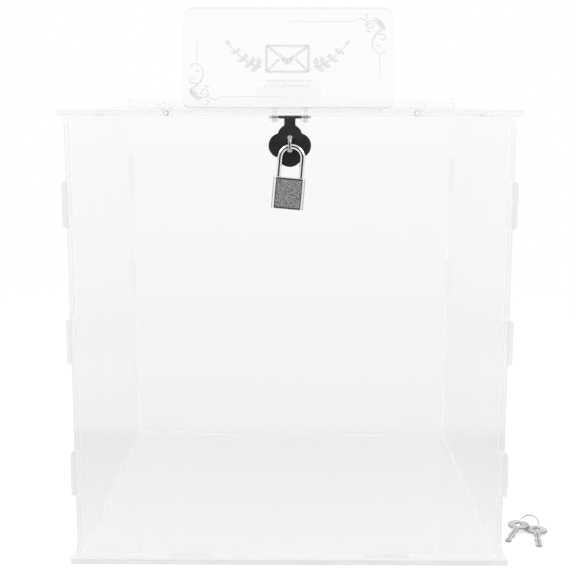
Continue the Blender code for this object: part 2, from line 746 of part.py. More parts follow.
def shackle(lock):
    """Bow with a long leg and a notched short leg."""
    (x, z), top = bow_centre(), case_top()
    long_x, short_x = leg_places()
    bow = arc((x, z), SHACKLE_SPACING / 2, 180.0, 0.0, 2 * LOBE_STEPS - 4)
    route = [(long_x, 0.0, top - LONG_LEG)] + [(a, 0.0, b) for a, b in bow]
    route += [(short_x, 0.0, top - SHORT_LEG)]
    look = finish("bright_shackle", (0.8, 0.8, 0.8), 0.08, metallic=1.0)
    made = wire("padlock_shackle", route, SHACKLE_WIRE, look)
    made.parent = lock
    low = top - SHORT_LEG + LEG_NOTCH_RISE
    edge = short_x - SHACKLE_WIRE + LEG_NOTCH
    tool = block("leg_notch", (edge - SHACKLE_WIRE, -SHACKLE_WIRE * 2, low),
                 (edge, SHACKLE_WIRE * 2, low + LEG_NOTCH_HEIGHT))
    tool.parent = lock
    return boolean(made, tool)


def padlock_case(lock):
    """Polished case with bores for the legs and the plug, and a recess in both faces."""
    x, top = bow_centre()[0], case_top()
    outline = rounded_box((0, 0), CASE_WIDTH, CASE_THICKNESS, CASE_CORNER)
    look = finish("bright_case", (0.82, 0.82, 0.82), 0.1, metallic=1.0)
    made = plate("padlock_case", outline, CASE_HEIGHT, look)
    made.location = (x, 0.0, top - CASE_HEIGHT / 2)
    made.parent = lock
    ease = made.modifiers.new("eased_rims", "BEVEL")
    ease.width = CASE_BEVEL
    ease.segments = 2
    ease.limit_method = "ANGLE"
    ease.angle_limit = math.radians(60)
    long_x, short_x = leg_places()
    bores = [("long_leg_bore", long_x, LONG_LEG + FIT), ("short_leg_bore", short_x, SHORT_LEG + FIT)]
    for name, place, depth in bores:
        tool = rod(name, SHACKLE_WIRE + FIT, top - depth, top + SHEET)
        tool.location.x = place
        tool.parent = lock
        boolean(made, tool)
    bottom = top - CASE_HEIGHT
    tool = rod("plug_bore", PLUG_RADIUS + FIT, bottom - SHEET, bottom + PLUG_LENGTH + FIT)
    tool.location.x = x
    tool.parent = lock
    boolean(made, tool)
    half = FACE_WIDTH / 2 + FIT
    rim = FACE_MARGIN - FIT
    for side in (-1, 1):
        floor = side * (CASE_THICKNESS / 2 - FACE_RECESS)
        beyond = side * CASE_THICKNESS
        low, high = sorted((floor, beyond))
        tool = block(f"face_recess_{side}", (x - half, low, bottom + rim), (x + half, high, top - rim))
        tool.parent = lock
        boolean(made, tool)
    return made


def padlock_face(name, lock, side):
    """Grained plate that fills the recess of one face."""
    x, top = bow_centre()[0], case_top()
    thickness = FACE_RECESS - FIT
    look = finish("grained_" + name, (0.14, 0.14, 0.14), 0.55, metallic=0.4)
    outline = rounded_box((0, 0), FACE_WIDTH, CASE_HEIGHT - 2 * FACE_MARGIN, FACE_MARGIN, 2)
    made = plate(name, outline, thickness, look)
    made.rotation_euler.x = math.pi / 2
    made.location = (x, side * (CASE_THICKNESS / 2 - thickness / 2), top - CASE_HEIGHT / 2)
    made.parent = lock
    return made


def padlock_plug(lock):
    """Turning plug with its keyway, flush with the bottom of the case."""
    axle = pivot("plug_axis", (bow_centre()[0], 0.0, case_top() - CASE_HEIGHT))
    axle.parent = lock
    profile = [(0.0, PLUG_LENGTH), (PLUG_RADIUS, PLUG_LENGTH), (PLUG_RADIUS, 0.0), (0.0, 0.0)]
    made = turned("padlock_plug", profile, finish("brass_plug", (0.72, 0.6, 0.36), 0.3, metallic=1.0))
    made.parent = axle
    half_width, half_length = KEYWAY_WIDTH / 2, KEYWAY_LENGTH / 2
    tool = block("keyway", (-half_length, -half_width, -SHEET), (half_length, half_width, KEYWAY_DEPTH))
    tool.parent = axle
    return boolean(made, tool)


def padlock():
    """Padlock hung on the staple, a little askew as it comes to rest."""
    lock = pivot("lock_pivot", (0.0, LOCK_Y, LOCK_Z), (0.0, LOCK_TILT, 0.0))
    return [shackle(lock), padlock_case(lock), padlock_face("padlock_front_face", lock, -1),
            padlock_face("padlock_back_face", lock, 1), padlock_plug(lock)]


def sign():
    """Sign that leans back on its lower rear edge, and the tongue through its slot."""
    lean = math.radians(SIGN_LEAN)
    seat = LID_TOP + FIT + SHEET / 2 * math.sin(lean)
    foot = pivot("sign_foot", (SIGN_ASIDE, FRONT_EDGE + SIGN_SETBACK, seat), (90.0 - SIGN_LEAN, 0.0, 0.0))
    board_outline = rounded_box((0, SIGN_HEIGHT / 2), SIGN_WIDTH, SIGN_HEIGHT, SIGN_CORNER)
    hole = slot((0, PROP_SLOT_RISE), PROP_TAB_WIDTH, 0)
    board = plate("sign_plate", board_outline, SHEET, clear("clear_sign"), [hole])
    board.parent = foot
    face = SHEET / 2
    drop = SHEET / 2 * math.sin(lean) + PROP_SLOT_RISE * math.cos(lean) - SHEET / 2 * math.cos(lean)
    reach = drop / math.sin(lean)
    half = [(PROP_TAB_WIDTH / 2, -face - PROP_TAB_PROUD, 0), (PROP_TAB_WIDTH / 2, face + FIT, 0)]
    half += [(PROP_WIDTH / 2, face + FIT, PROP_SHOULDER), (PROP_WIDTH / 2, reach, PROP_CORNER)]
    tongue = plate("sign_prop", rounded(mirrored(half)), SHEET, clear("clear_prop"))
    tongue.rotation_euler.x = -math.pi / 2
    tongue.location.y = PROP_SLOT_RISE
    tongue.parent = foot
    return board, tongue


def key_outline():
    """Oval head with a blade that is waved along both edges."""
    a, b = KEY_HEAD_WIDTH / 2, KEY_HEAD_LENGTH / 2
    half_blade = KEY_BLADE_WIDTH / 2
    begin = math.asin(half_blade / a)
    head = []
    for k in range(2 * ROUND_STEPS + 1):
        angle = -math.pi / 2 + begin + (2 * math.pi - 2 * begin) * k / (2 * ROUND_STEPS)
        head.append((a * math.cos(angle), b * math.sin(angle)))
    root = head[0][1]
    waves = 12
    right = []
    for k in range(1, waves + 1):
        share = k / waves
        wave = KEY_BITE * math.sin(share * math.pi * 4.4) * min(1.0, 4 * share)
        right.append((half_blade + wave - 0.4 * KEY_BITE * share, root - share * KEY_BLADE_LENGTH))
    tip_x, tip_y = right[-1]
    nose = arc((0, tip_y), tip_x, 0.0, -180.0, 6)[1:-1]
    left = [(-x, y) for x, y in reversed(right)]
    return list(reversed(right)) + head + left[::-1] + nose[::-1]


def key(name, middle, heading, roll, pitch):
    """Key with its hole's middle above a point of the floor, its head raised and its tip on the floor."""
    look = finish("nickel_" + name, (0.66, 0.65, 0.62), 0.28, metallic=1.0)
    made = plate(name, key_outline(), KEY_THICKNESS, look, [circle((0, 0), KEY_HOLE_RADIUS)])
    made.rotation_euler = (math.radians(pitch), math.radians(-roll), math.radians(heading + 90.0))
    made.location = (*middle, 0.0)
    bpy.context.view_layer.update()
    lowest = min((made.matrix_world @ vertex.co).z for vertex in made.data.vertices)
    made.location.z = -lowest
    return made


def keys():
    """Two keys on a thin wire ring that leans up out of their holes."""
    x, y = HALF_PLATE + RING_GAP_FROM_BASE, FRONT_EDGE + RING_SETBACK
    tilt = math.radians(RING_TILT)
    route = [(a, b, 0.0) for a, b in circle((0, 0), RING_RADIUS, 2 * ROUND_STEPS)]
    look = finish("bright_ring", (0.8, 0.8, 0.8), 0.15, metallic=1.0)
    ring = wire("key_ring", route, RING_WIRE, look, True)
    ring.rotation_euler = (0.0, -tilt, math.radians(RING_HIGH_SIDE))
    ring.location = (x, y, RING_RADIUS * math.sin(tilt) + RING_WIRE)
    (left_x, left_y), (right_x, right_y) = LEFT_KEY_PLACE, RIGHT_KEY_PLACE
    key("key_left", (x + left_x, y + left_y), LEFT_KEY_HEADING, LEFT_KEY_ROLL, LEFT_KEY_PITCH)
    key("key_right", (x + right_x, y + right_y), RIGHT_KEY_HEADING, RIGHT_KEY_ROLL, RIGHT_KEY_PITCH)


def build():
    """Makes every piece and hangs the moving ones on their axes."""
    global parts, cutters
    for old in list(bpy.data.objects):
        bpy.data.objects.remove(old, do_unlink=True)
    parts = collection("acrylic_card_box")
    cutters = collection("cutters")
    base_panel()
    front_panel()
    back_panel()
    side_panel("left_panel", -1)
    side_panel("right_panel", 1)
    lid_axis = pivot("lid_axis", (0.0, HINGE_Y, HINGE_Z))
    hang(lid_panel(), lid_axis)
    for side, x in zip(SIDES, hinge_places()):
        wall_leaf("hinge_wall_leaf_" + side, x)
        hinge_pin("hinge_pin_" + side, x)
        hang(lid_leaf("hinge_lid_leaf_" + side, x), lid_axis)
        for piece in hinge_fasteners(side, x):
            hang(piece, lid_axis)
    hang(hasp_lid_half(), lid_axis)
    for piece in hasp_fasteners():
        hang(piece, lid_axis)
    fold_axis = pivot("fold_axis", (0.0, FOLD_Y, FOLD_Z))
    hang(hasp_flap(), fold_axis)
    staple()
    staple_backing()
    staple_nuts()
    padlock()
    sign()
    keys()


build()
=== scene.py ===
# %% [markdown]
# # A clear card box, dressed for its picture
# The box is laser-cut acrylic sheet, held together by tabs in slots. Its lid is locked by a strap, a
# wire staple and a small padlock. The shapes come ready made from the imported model, so this lesson is
# about finishes: clear sheet with polished faces and milky cut edges, black strap, bright wire and
# grained metal. Only the frosted ornament of the sign, a layer thinner than paint, is shaped here.
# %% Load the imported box
import math

import bmesh
import bpy
from mathutils import Euler, Matrix, Vector


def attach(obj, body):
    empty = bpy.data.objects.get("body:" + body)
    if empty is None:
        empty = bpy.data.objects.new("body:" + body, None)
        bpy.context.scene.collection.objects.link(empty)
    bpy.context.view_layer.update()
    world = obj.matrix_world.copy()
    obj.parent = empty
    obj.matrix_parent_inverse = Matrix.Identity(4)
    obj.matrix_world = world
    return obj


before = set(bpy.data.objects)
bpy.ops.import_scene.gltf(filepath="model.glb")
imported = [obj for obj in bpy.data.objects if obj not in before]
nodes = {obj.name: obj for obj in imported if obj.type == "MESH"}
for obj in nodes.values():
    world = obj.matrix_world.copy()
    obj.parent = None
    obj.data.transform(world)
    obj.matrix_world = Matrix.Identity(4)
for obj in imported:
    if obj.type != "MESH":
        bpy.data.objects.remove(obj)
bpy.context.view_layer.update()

# %% [markdown]
# ## Camera
# The picture was taken from three quarters of a metre in front of the box, a little above its middle,
# looking slightly down. A camera can be set by eye, or worked out from straight lines. Here the edges
# of the box gave its place, its turns and a lens of 69 mm, because only then do the walls narrow
# towards the floor by as much as they do in the picture.
# %% Camera in front of the box
LENS, SENSOR = 69.06, 36.0
NEAREST, FARTHEST = 0.05, 20.0
CAMERA_PLACE = (0.0032, -0.7497, 0.274)
PITCH, YAW, ROLL = 9.78, 0.376, 0.08

camera_data = bpy.data.cameras.new("front_camera")
camera_data.lens = LENS
camera_data.sensor_width = SENSOR
camera_data.clip_start, camera_data.clip_end = NEAREST, FARTHEST
camera = bpy.data.objects.new("front_camera", camera_data)
bpy.context.scene.collection.objects.link(camera)
camera.location = CAMERA_PLACE
aim = Euler((math.radians(90.0 - PITCH), 0.0, math.radians(YAW))).to_matrix()
camera.rotation_euler = (aim @ Matrix.Rotation(math.radians(ROLL), 3, "Z")).to_euler()
bpy.context.scene.camera = camera
print("camera at", tuple(round(v, 4) for v in camera.location))

# %% [markdown]
# ## Helpers for materials
# A finish can be a picture wrapped round a piece, or a pattern that shader nodes work out at every
# point. Nodes are used here: such a pattern stays sharp at any distance, needs no unwrapping, and on
# Object coordinates it stays with its piece. A node takes a few lines to add, set and link, so one
# helper makes a material, one adds any node, and short ones add the kinds that come up again and again.
# %% Materials and nodes
def new_finish(name, **sockets):
    """Material with its Principled shader's plain values set."""
    made = bpy.data.materials.new(name)
    made.use_nodes = True
    shader = made.node_tree.nodes["Principled BSDF"]
    for socket, value in sockets.items():
        shader.inputs[socket.replace("_", " ")].default_value = value
    return made, shader


def link(made, source, target):
    """Joins two sockets."""
    made.node_tree.links.new(source, target)


def node(made, kind, settings=None, **values):
    """New node. A value that is a socket is linked, any other is set; i0, i1 and so on count the inputs."""
    fresh = made.node_tree.nodes.new(kind)
    for key, value in (settings or {}).items():
        setattr(fresh, key, value)
    for key, value in values.items():
        counted = key[0] == "i" and key[1:].isdigit()
        socket = fresh.inputs[int(key[1:]) if counted else key.replace("_", " ")]
        if isinstance(value, bpy.types.NodeSocket):
            link(made, value, socket)
        else:
            socket.default_value = value
    return fresh


def set_surface(made, shader):
    """Makes a shader the material's surface."""
    link(made, shader, made.node_tree.nodes["Material Output"].inputs["Surface"])


def paint(made, *names):
    """Puts a finish on CAD nodes."""
    for name in names:
        slots = nodes[name].data.materials
        slots.clear()
        slots.append(made)


print("helpers for materials and nodes ready")

# %% [markdown]
# ## Helpers for numbers and colours
# Where a cut edge, a groove or a haze begins is worked out from a point's place by a few sums. Each sum
# could be a node with its settings spelled out every time. As small functions that hand on their
# result, the sums nest like ordinary ones, and a finish reads from the inside out.
# %% Numbers and colours
def maths(made, operation, *values, clamp=False):
    """Result of a sum on one, two or three values, held between 0 and 1 if clamp is set."""
    inputs = {f"i{k}": value for k, value in enumerate(values)}
    return node(made, "ShaderNodeMath", {"operation": operation, "use_clamp": clamp}, **inputs).outputs[0]


def fade(made, value, start, stop, low=0.0, high=1.0, kind="SMOOTHSTEP"):
    """Goes from low to high while the value goes from start to stop."""
    return node(made, "ShaderNodeMapRange", {"interpolation_type": kind}, Value=value, From_Min=start,
                From_Max=stop, To_Min=low, To_Max=high).outputs[0]


def part_along(made, vector, direction):
    """A vector's part along a direction."""
    return node(made, "ShaderNodeVectorMath", {"operation": "DOT_PRODUCT"}, i0=vector,
                i1=tuple(direction)).outputs["Value"]


def size_along(made, vector, direction):
    """Size of a vector's part along a direction, without its sign."""
    return maths(made, "ABSOLUTE", part_along(made, vector, direction))


def blend(made, share, first, second):
    """Mix of two shaders; the share is the second one's."""
    return node(made, "ShaderNodeMixShader", Fac=share, i1=first, i2=second).outputs[0]


def mixed_colour(made, share, first, second):
    """Mix of two colours; the share is the second one's."""
    return node(made, "ShaderNodeMix", {"data_type": "RGBA"}, Factor=share, i6=first, i7=second).outputs[2]


def grey(value):
    """Opaque grey."""
    return (value, value, value, 1.0)


print("helpers for numbers and colours ready")

# %% [markdown]
# ## Helpers for patterns
# Ripples, scratches, pebbles and clouds are all noise of some size, stretched some way. A photographed
# texture would give them too, but not to scale. Here the noise is told in lumps to the metre, and a ramp
# turns it into a tone or a roughness. Noise hardly leaves 0.3 to 0.7, so most ramps span about that.
# %% Patterns
def object_place(made):
    """Object coordinates of a point, in metres."""
    return node(made, "ShaderNodeTexCoord").outputs["Object"]


def stretched(made, scales):
    """Object coordinates times a scale along each axis."""
    return node(made, "ShaderNodeMapping", Scale=scales, Vector=object_place(made)).outputs["Vector"]


def noise(made, scale, detail=2.0, roughness=0.5):
    """Noise; the scale is about how many lumps fit in a metre, as one number or one along each axis."""
    scales = (scale, scale, scale) if isinstance(scale, float) else scale
    return node(made, "ShaderNodeTexNoise", Vector=stretched(made, scales), Scale=1.0, Detail=detail,
                Roughness=roughness).outputs["Fac"]


def shades(made, factor, low, high, low_at=0.0, high_at=1.0):
    """Ramp between two greys or colours."""
    ramp = node(made, "ShaderNodeValToRGB", Fac=factor)
    for stop, place, value in zip(ramp.color_ramp.elements, (low_at, high_at), (low, high)):
        stop.position = place
        stop.color = value if len(value) == 4 else (*value, 1.0)
    return ramp.outputs["Color"]


def bumps(made, height, strength, distance):
    """Normal of a surface with small heights; the distance is the greatest one in metres."""
    bump = node(made, "ShaderNodeBump", Strength=strength, Distance=distance, Height=height)
    return bump.outputs["Normal"]


def span(name, direction):
    """Middle and half length of a CAD node along a direction."""
    found = [vertex.co.dot(Vector(direction)) for vertex in nodes[name].data.vertices]
    return (max(found) + min(found)) / 2, (max(found) - min(found)) / 2


print("helpers for patterns ready")

# %% [markdown]
# ## Cut edges of the acrylic
# A laser melts the sheet where it cuts. The edge is glossy but finely rippled, so it looks milky beside
# the clear faces, with a greyer lip along both borders. It could be rough glass, but then light is
# caught between the faces, and the edge comes out dark and full of noise. Here it has two plain parts:
# milk, which is lit like paint, and light that goes straight through, because most of what shows in a
# real cut edge is what lies behind it. The distance from the sheet's middle plane finds the lips, and
# a Fresnel node adds gloss on the outside only.
# %% Milky edges
ACROSS_X, ACROSS_Y, ACROSS_Z = (1.0, 0.0, 0.0), (0.0, 1.0, 0.0), (0.0, 0.0, 1.0)
SHEET = 0.003
ACRYLIC_IOR = 1.49
EDGE_TONE, EDGE_WAVE = (0.93, 0.935, 0.935), 0.95
EDGE_GLOSS, EDGE_ROUGHNESS = 0.3, 0.12
LIP_START, LIP_FULL = SHEET * 0.22, SHEET * 0.46
LIP_DEPTH, LIP_SHARE = 0.895, 0.8
RIPPLES, RIPPLE_STRETCH, DRIFT = 900.0, 60.0, 38.0
GLOW_THROUGH = 0.3
MOSTLY = 0.7


def straight_light(made, tint=grey(1.0)):
    """Light that goes through without a bend."""
    return node(made, "ShaderNodeBsdfRefraction", Color=tint, Roughness=0.0, IOR=1.0).outputs[0]


def milk(made, tone, lip, thin):
    """Rippled milk with greyer lips, and the normal of its ripples; thin is the way across the sheet."""
    ripples = noise(made, [RIPPLE_STRETCH if abs(part) > MOSTLY else RIPPLES for part in thin])
    normal = bumps(made, ripples, strength=0.12, distance=0.0002)
    wave = shades(made, noise(made, DRIFT), tuple(c * EDGE_WAVE for c in tone), tone, 0.35, 0.6)
    colour = mixed_colour(made, lip, wave, (*[c * LIP_DEPTH for c in tone], 1.0))
    lit = node(made, "ShaderNodeBsdfDiffuse", Color=colour, Normal=normal)
    glow = node(made, "ShaderNodeBsdfTranslucent", Color=colour, Normal=normal)
    return blend(made, GLOW_THROUGH, lit.outputs[0], glow.outputs[0]), normal


def edge_finish(made, thin, middle, see_through, tone=EDGE_TONE, change=None):
    """Cut edge of a sheet; middle is how far its middle plane is from the origin.

    A change holds two heights, and the see-through share that holds above the second one.
    """
    place = object_place(made)
    off = maths(made, "ABSOLUTE", maths(made, "SUBTRACT", size_along(made, place, thin), middle))
    lip = fade(made, off, LIP_START, LIP_FULL)
    share, at_lip = see_through, see_through * LIP_SHARE
    if change:
        start, stop, above = change
        share = fade(made, size_along(made, place, ACROSS_Z), start, stop, see_through, above, "LINEAR")
        at_lip = maths(made, "MULTIPLY", share, LIP_SHARE)
    white, normal = milk(made, tone, lip, thin)
    body = blend(made, fade(made, lip, 0.0, 1.0, share, at_lip, "LINEAR"), white, straight_light(made))
    outside = maths(made, "SUBTRACT", 1.0, node(made, "ShaderNodeNewGeometry").outputs["Backfacing"])
    fresnel = node(made, "ShaderNodeFresnel", IOR=ACRYLIC_IOR).outputs[0]
    gloss = maths(made, "MULTIPLY", maths(made, "MULTIPLY", fresnel, outside), EDGE_GLOSS)
    shine = node(made, "ShaderNodeBsdfGlossy", Color=grey(1.0), Roughness=EDGE_ROUGHNESS, Normal=normal)
    return blend(made, gloss, body, shine.outputs[0])


print("lips from", round(LIP_START * 1000, 2), "to", round(LIP_FULL * 1000, 2), "mm off the middle")

# %% [markdown]
# ## Lamp light through clear plastic
# A clear box throws hardly any shadow. The light could be followed through every face, but that takes
# very many samples. Here a ray on its way to a lamp passes each surface as a thin film that keeps a
# little of it, so the shadow stays pale and without noise.
# %% Pale shadow
LAMP_SHARE = grey(0.985)


def let_lamps_through(made, surface, share=LAMP_SHARE):
    """Ends the material: lamp rays pass, and all others meet the surface."""
    film = node(made, "ShaderNodeBsdfTransparent", Color=share).outputs[0]
    lamp_ray = node(made, "ShaderNodeLightPath").outputs["Is Shadow Ray"]
    set_surface(made, blend(made, lamp_ray, surface, film))


print("each surface keeps", round(1.0 - LAMP_SHARE[0], 3), "of the lamp light")

# %% [markdown]
# ## Polished faces of the acrylic
# Acrylic is clearer than window glass, so its body takes very little from the light. The Principled
# shader's transmission gives that, with a tint for what a sheet keeps, a weak mirror image and faint
# wipe marks in the roughness. Light that comes in through a real edge runs inside the sheet to the next
# edge. A renderer would lose it on the way and leave a dark edge, so here a ray that is caught leaves by
# the face that it meets. The normal tells a face, where it points mostly across the sheet, from an
# edge. The tabs stand out past the side walls, and a painted shade darkens their tint, more towards the
# top.
# %% Clear sheet
FACE_TINT = (0.981, 0.982, 0.982, 1.0)
FACE_GLOSS = 0.25
WIPE_MARKS, WIPE_ROUGHNESS = (9.0, 9.0, 14.0), 0.03
FREED_LIGHT = grey(0.98)
CAUGHT_FROM = 1.0 - math.sqrt(1.0 - 1.0 / ACRYLIC_IOR ** 2)
TAB_START = span("right_panel", ACROSS_X)[0] + SHEET / 2 + 0.0001
TAB_LOW_SHADE_TINT, TAB_TOP_SHADE_TINT = grey(0.965), (0.87, 0.873, 0.873, 1.0)
TAB_LOW, TAB_TOP = 0.05, 0.2


def untrapped(made, glass):
    """Glass that lets light out which would be caught between the faces of a sheet."""
    slant = node(made, "ShaderNodeLayerWeight", Blend=0.5).outputs["Facing"]
    inside = node(made, "ShaderNodeNewGeometry").outputs["Backfacing"]
    caught = maths(made, "MULTIPLY", maths(made, "GREATER_THAN", slant, CAUGHT_FROM), inside)
    return blend(made, caught, glass, node(made, "ShaderNodeBsdfTransparent", Color=FREED_LIGHT).outputs[0])


def tab_painted_shade(made, tint):
    """Tint of a wall whose tabs carry a painted shade, darker than the rest of it and more so higher up."""
    place = object_place(made)
    tab = maths(made, "GREATER_THAN", size_along(made, place, ACROSS_X), TAB_START)
    height = size_along(made, place, ACROSS_Z)
    # Painted shade: the tabs get a darker tint, ramping darker towards the top.
    return mixed_colour(made, tab, tint, shades(made, height, TAB_LOW_SHADE_TINT, TAB_TOP_SHADE_TINT, TAB_LOW, TAB_TOP))


def clear_sheet(name, piece, thin, see_through, tint=FACE_TINT, tabs=False,
                edge_tone=EDGE_TONE, change=None):
    """Clear sheet for a piece; thin is the way across it, and see_through is the share for its edges."""
    made, glass = new_finish(name, Base_Color=tint, IOR=ACRYLIC_IOR, Transmission_Weight=1.0,
                             Specular_Tint=grey(FACE_GLOSS))
    marks = noise(made, WIPE_MARKS, detail=4.0, roughness=0.6)
    link(made, shades(made, marks, grey(0.0), grey(WIPE_ROUGHNESS), 0.5, 0.72), glass.inputs["Roughness"])
    if tabs:
        link(made, tab_painted_shade(made, tint), glass.inputs["Base Color"])
    normal = node(made, "ShaderNodeTexCoord").outputs["Normal"]
    on_edge = maths(made, "LESS_THAN", size_along(made, normal, thin), MOSTLY)
    middle = abs(span(piece, thin)[0])
    edge = edge_finish(made, thin, middle, see_through, edge_tone, change)
    let_lamps_through(made, blend(made, on_edge, untrapped(made, glass.outputs[0]), edge))
    return made


print("tabs start", round(TAB_START * 1000, 1), "mm from the middle of the box")

# %% [markdown]
# ## The six panels
# The walls, the base and the lid are the same 3 mm sheet. Their edges differ in the picture by what
# lies behind them and by how the light gets in. One finish for all would be simpler, but an edge is all
# that shows of a clear sheet, so each panel has its own share of see-through light. The ears of the
# side walls stand free above the lid and are clearer than the rest of the edge. The base's edge is
# whiter and milkier, because light from the floor fills it.
# %% Panels
WALL_SHARE, LID_SHARE, BASE_SHARE = 0.85, 0.88, 0.25
BASE_EDGE_TONE = (0.985, 0.99, 0.99)
EARS = (0.262, 0.268, 0.96)

front_sheet = clear_sheet("clear_front", "front_panel", ACROSS_Y, WALL_SHARE, tabs=True)
back_sheet = clear_sheet("clear_back", "back_panel", ACROSS_Y, WALL_SHARE, tabs=True)
side_sheet = clear_sheet("clear_sides", "right_panel", ACROSS_X, WALL_SHARE, change=EARS)
base_sheet = clear_sheet("clear_base", "base_panel", ACROSS_Z, BASE_SHARE, edge_tone=BASE_EDGE_TONE)
lid_sheet = clear_sheet("clear_lid", "lid_panel", ACROSS_Z, LID_SHARE)
paint(front_sheet, "front_panel")
paint(back_sheet, "back_panel")
paint(side_sheet, "left_panel", "right_panel")
paint(base_sheet, "base_panel")
paint(lid_sheet, "lid_panel")
print("clear sheet on 6 panels")

# %% [markdown]
# ## Sign and its tongue
# The sign leans back by 27 degrees on a tongue that goes through a slot in it, so none of their faces
# lies along an axis. A second kind of sheet could be made for them, but the same one serves: only the
# direction across it is worked out from the lean. The sign is tinted a little more than the panels,
# its edge is milky at its foot and clearer above it, and the tongue is nearly clear all over.
# %% Clear sheet of the leaning sign
LEAN = math.radians(27.0)
SIGN_FOOT = Vector((-0.0012, -0.092, 0.267981))
SIGN_UP = Vector((0.0, math.sin(LEAN), math.cos(LEAN)))
SIGN_FRONT = Vector((0.0, -math.cos(LEAN), math.sin(LEAN)))
SIGN_TINT, TONGUE_TINT = (0.972, 0.973, 0.973, 1.0), grey(1.0)
FOOT_SHARE, TONGUE_SHARE = 0.5, 0.93
ABOVE_FOOT = (0.2695, 0.2735, 0.8)

sign_sheet = clear_sheet("clear_sign", "sign_plate", SIGN_FRONT, FOOT_SHARE, SIGN_TINT, change=ABOVE_FOOT)
tongue_sheet = clear_sheet("clear_tongue", "sign_prop", SIGN_UP, TONGUE_SHARE, TONGUE_TINT)
paint(sign_sheet, "sign_plate")
paint(tongue_sheet, "sign_prop")
print("clear sheet on the sign, leaning", round(math.degrees(LEAN)), "degrees")

# %% [markdown]
# ## Hinges and the other clear fasteners
# The hinges are small clear mouldings. In the picture their pins, the fasteners in the lid and the
# strap's nuts are as clear as they are, with a faint grey outline, and the strap's bolts are cloudier
# nylon. A glass shader would serve, but its bent, dark reflections are far stronger than such faint
# marks. So milk is mixed into light that goes straight through. Layer Weight makes the mix denser
# towards the outline, and a slow noise lets it change, because a moulding cools unevenly.
# %% Clear mouldings
SIDES = ("left", "right")
CLEAR_PIECES = ("hinge_wall_leaf", "hinge_lid_leaf", "hinge_pin", "hinge_lid_screw", "hinge_lid_nut",
                "hasp_nut")
MOULDING_TONE, NYLON_TONE = (0.88, 0.885, 0.885), (0.7, 0.705, 0.705)
MOULDING_CLOUD, CLOUD_WAVE = 300.0, 0.92
OUTLINE_FROM = 0.4
MOULDING_LIGHT, MOULDING_LAMP_SHARE = grey(0.985), grey(0.95)


def on_both_sides(*pieces):
    """Names of the left and the right node of each piece."""
    return [piece + "_" + side for piece in pieces for side in SIDES]


def clear_moulding(name, tone, see_through, rim):
    """Cloudy clear plastic; rim is the share of milk at its outline."""
    made, shader = new_finish(name)
    made.node_tree.nodes.remove(shader)
    cloud = noise(made, MOULDING_CLOUD)
    colour = shades(made, cloud, tuple(c * CLOUD_WAVE for c in tone), tone, 0.3, 0.7)
    normal = bumps(made, cloud, strength=0.15, distance=0.0001)
    cloudy = node(made, "ShaderNodeBsdfDiffuse", Color=colour, Normal=normal)
    slant = node(made, "ShaderNodeLayerWeight", Blend=0.5).outputs["Facing"]
    share = fade(made, slant, OUTLINE_FROM, 1.0, 1.0 - see_through, rim)
    both = blend(made, share, straight_light(made, MOULDING_LIGHT), cloudy.outputs[0])
    let_lamps_through(made, both, MOULDING_LAMP_SHARE)
    return made


moulding = clear_moulding("clear_moulding", MOULDING_TONE, see_through=0.95, rim=0.1)
nylon = clear_moulding("clear_nylon", NYLON_TONE, see_through=0.82, rim=0.6)
paint(moulding, *on_both_sides(*CLEAR_PIECES))
paint(nylon, *on_both_sides("hasp_bolt"))
print("clear plastic on", len(SIDES) * (len(CLEAR_PIECES) + 1), "hinge pieces and fasteners")

# %% [markdown]
# ## Black strap
# The strap is thick flexible plastic with a fine pebbled surface, so it is dark and only softly shiny.
# Plain black would look like a hole, so pebbles as bumps and a cloudy roughness break the shine up.
# The strap's ends under its nuts are only grey in the picture, so there, above the front wall, the
# black is mixed with light that goes straight through.
# %% Strap
PEBBLES, STRAP_CLOUD = (2600.0, 2600.0, 2600.0), 160.0
END_START, END_FULL = 0.006, 0.0074
END_LEVEL = 0.26
END_SHARE = 0.8
SMOKE = grey(0.9)


def strap_finish():
    """Pebbled black plastic with smoky ends."""
    made, shader = new_finish("black_strap", Specular_IOR_Level=0.4)
    cloud = noise(made, STRAP_CLOUD, detail=3.0)
    link(made, shades(made, cloud, grey(0.013), grey(0.027), 0.3, 0.75), shader.inputs["Base Color"])
    link(made, shades(made, cloud, grey(0.42), grey(0.58)), shader.inputs["Roughness"])
    pebbles = node(made, "ShaderNodeTexVoronoi", Vector=stretched(made, PEBBLES), Scale=1.0)
    normal = bumps(made, pebbles.outputs["Distance"], strength=0.35, distance=0.0001)
    link(made, normal, shader.inputs["Normal"])
    place = object_place(made)
    end = fade(made, size_along(made, place, ACROSS_X), END_START, END_FULL, kind="LINEAR")
    above = maths(made, "GREATER_THAN", part_along(made, place, ACROSS_Z), END_LEVEL)
    share = maths(made, "MULTIPLY", maths(made, "MULTIPLY", end, above), END_SHARE)
    set_surface(made, blend(made, share, shader.outputs[0], straight_light(made, SMOKE)))
    return made


paint(strap_finish(), "hasp_lid_half", "hasp_flap", "staple_backing")
print("strap done, its smoky ends start", round(END_START * 1000, 1), "mm from the middle")

# %% [markdown]
# ## Bright metal
# The shackle, the staple and the padlock's rails are plated and polished. A mirror shows what is round
# it, so bright metal gets its dark lines from dark places in the room. Those could be black cards on
# stands, but cards would show in the clear sheets too. So the studio further down has dark zones that
# only mirrors see. Fine scratches break the roughness up. The small screws in the rear wall are so pale
# in the picture that they have little metal in them. The strap hides the staple's nuts, so these are
# made the same way, only greyer, with the strap's shade painted into their colour.
# %% Plated metals
WIRE, STAPLE, BRASS = (0.82, 0.82, 0.82), (0.52, 0.52, 0.52), (0.72, 0.58, 0.33)
PALE_SCREW, SHADED_NUT = (0.86, 0.86, 0.85), (0.60, 0.60, 0.59)
SCRATCHES = (900.0, 900.0, 900.0)
TARNISH, TARNISH_WAVE = 220.0, 0.9
SMOOTHEST = 0.02


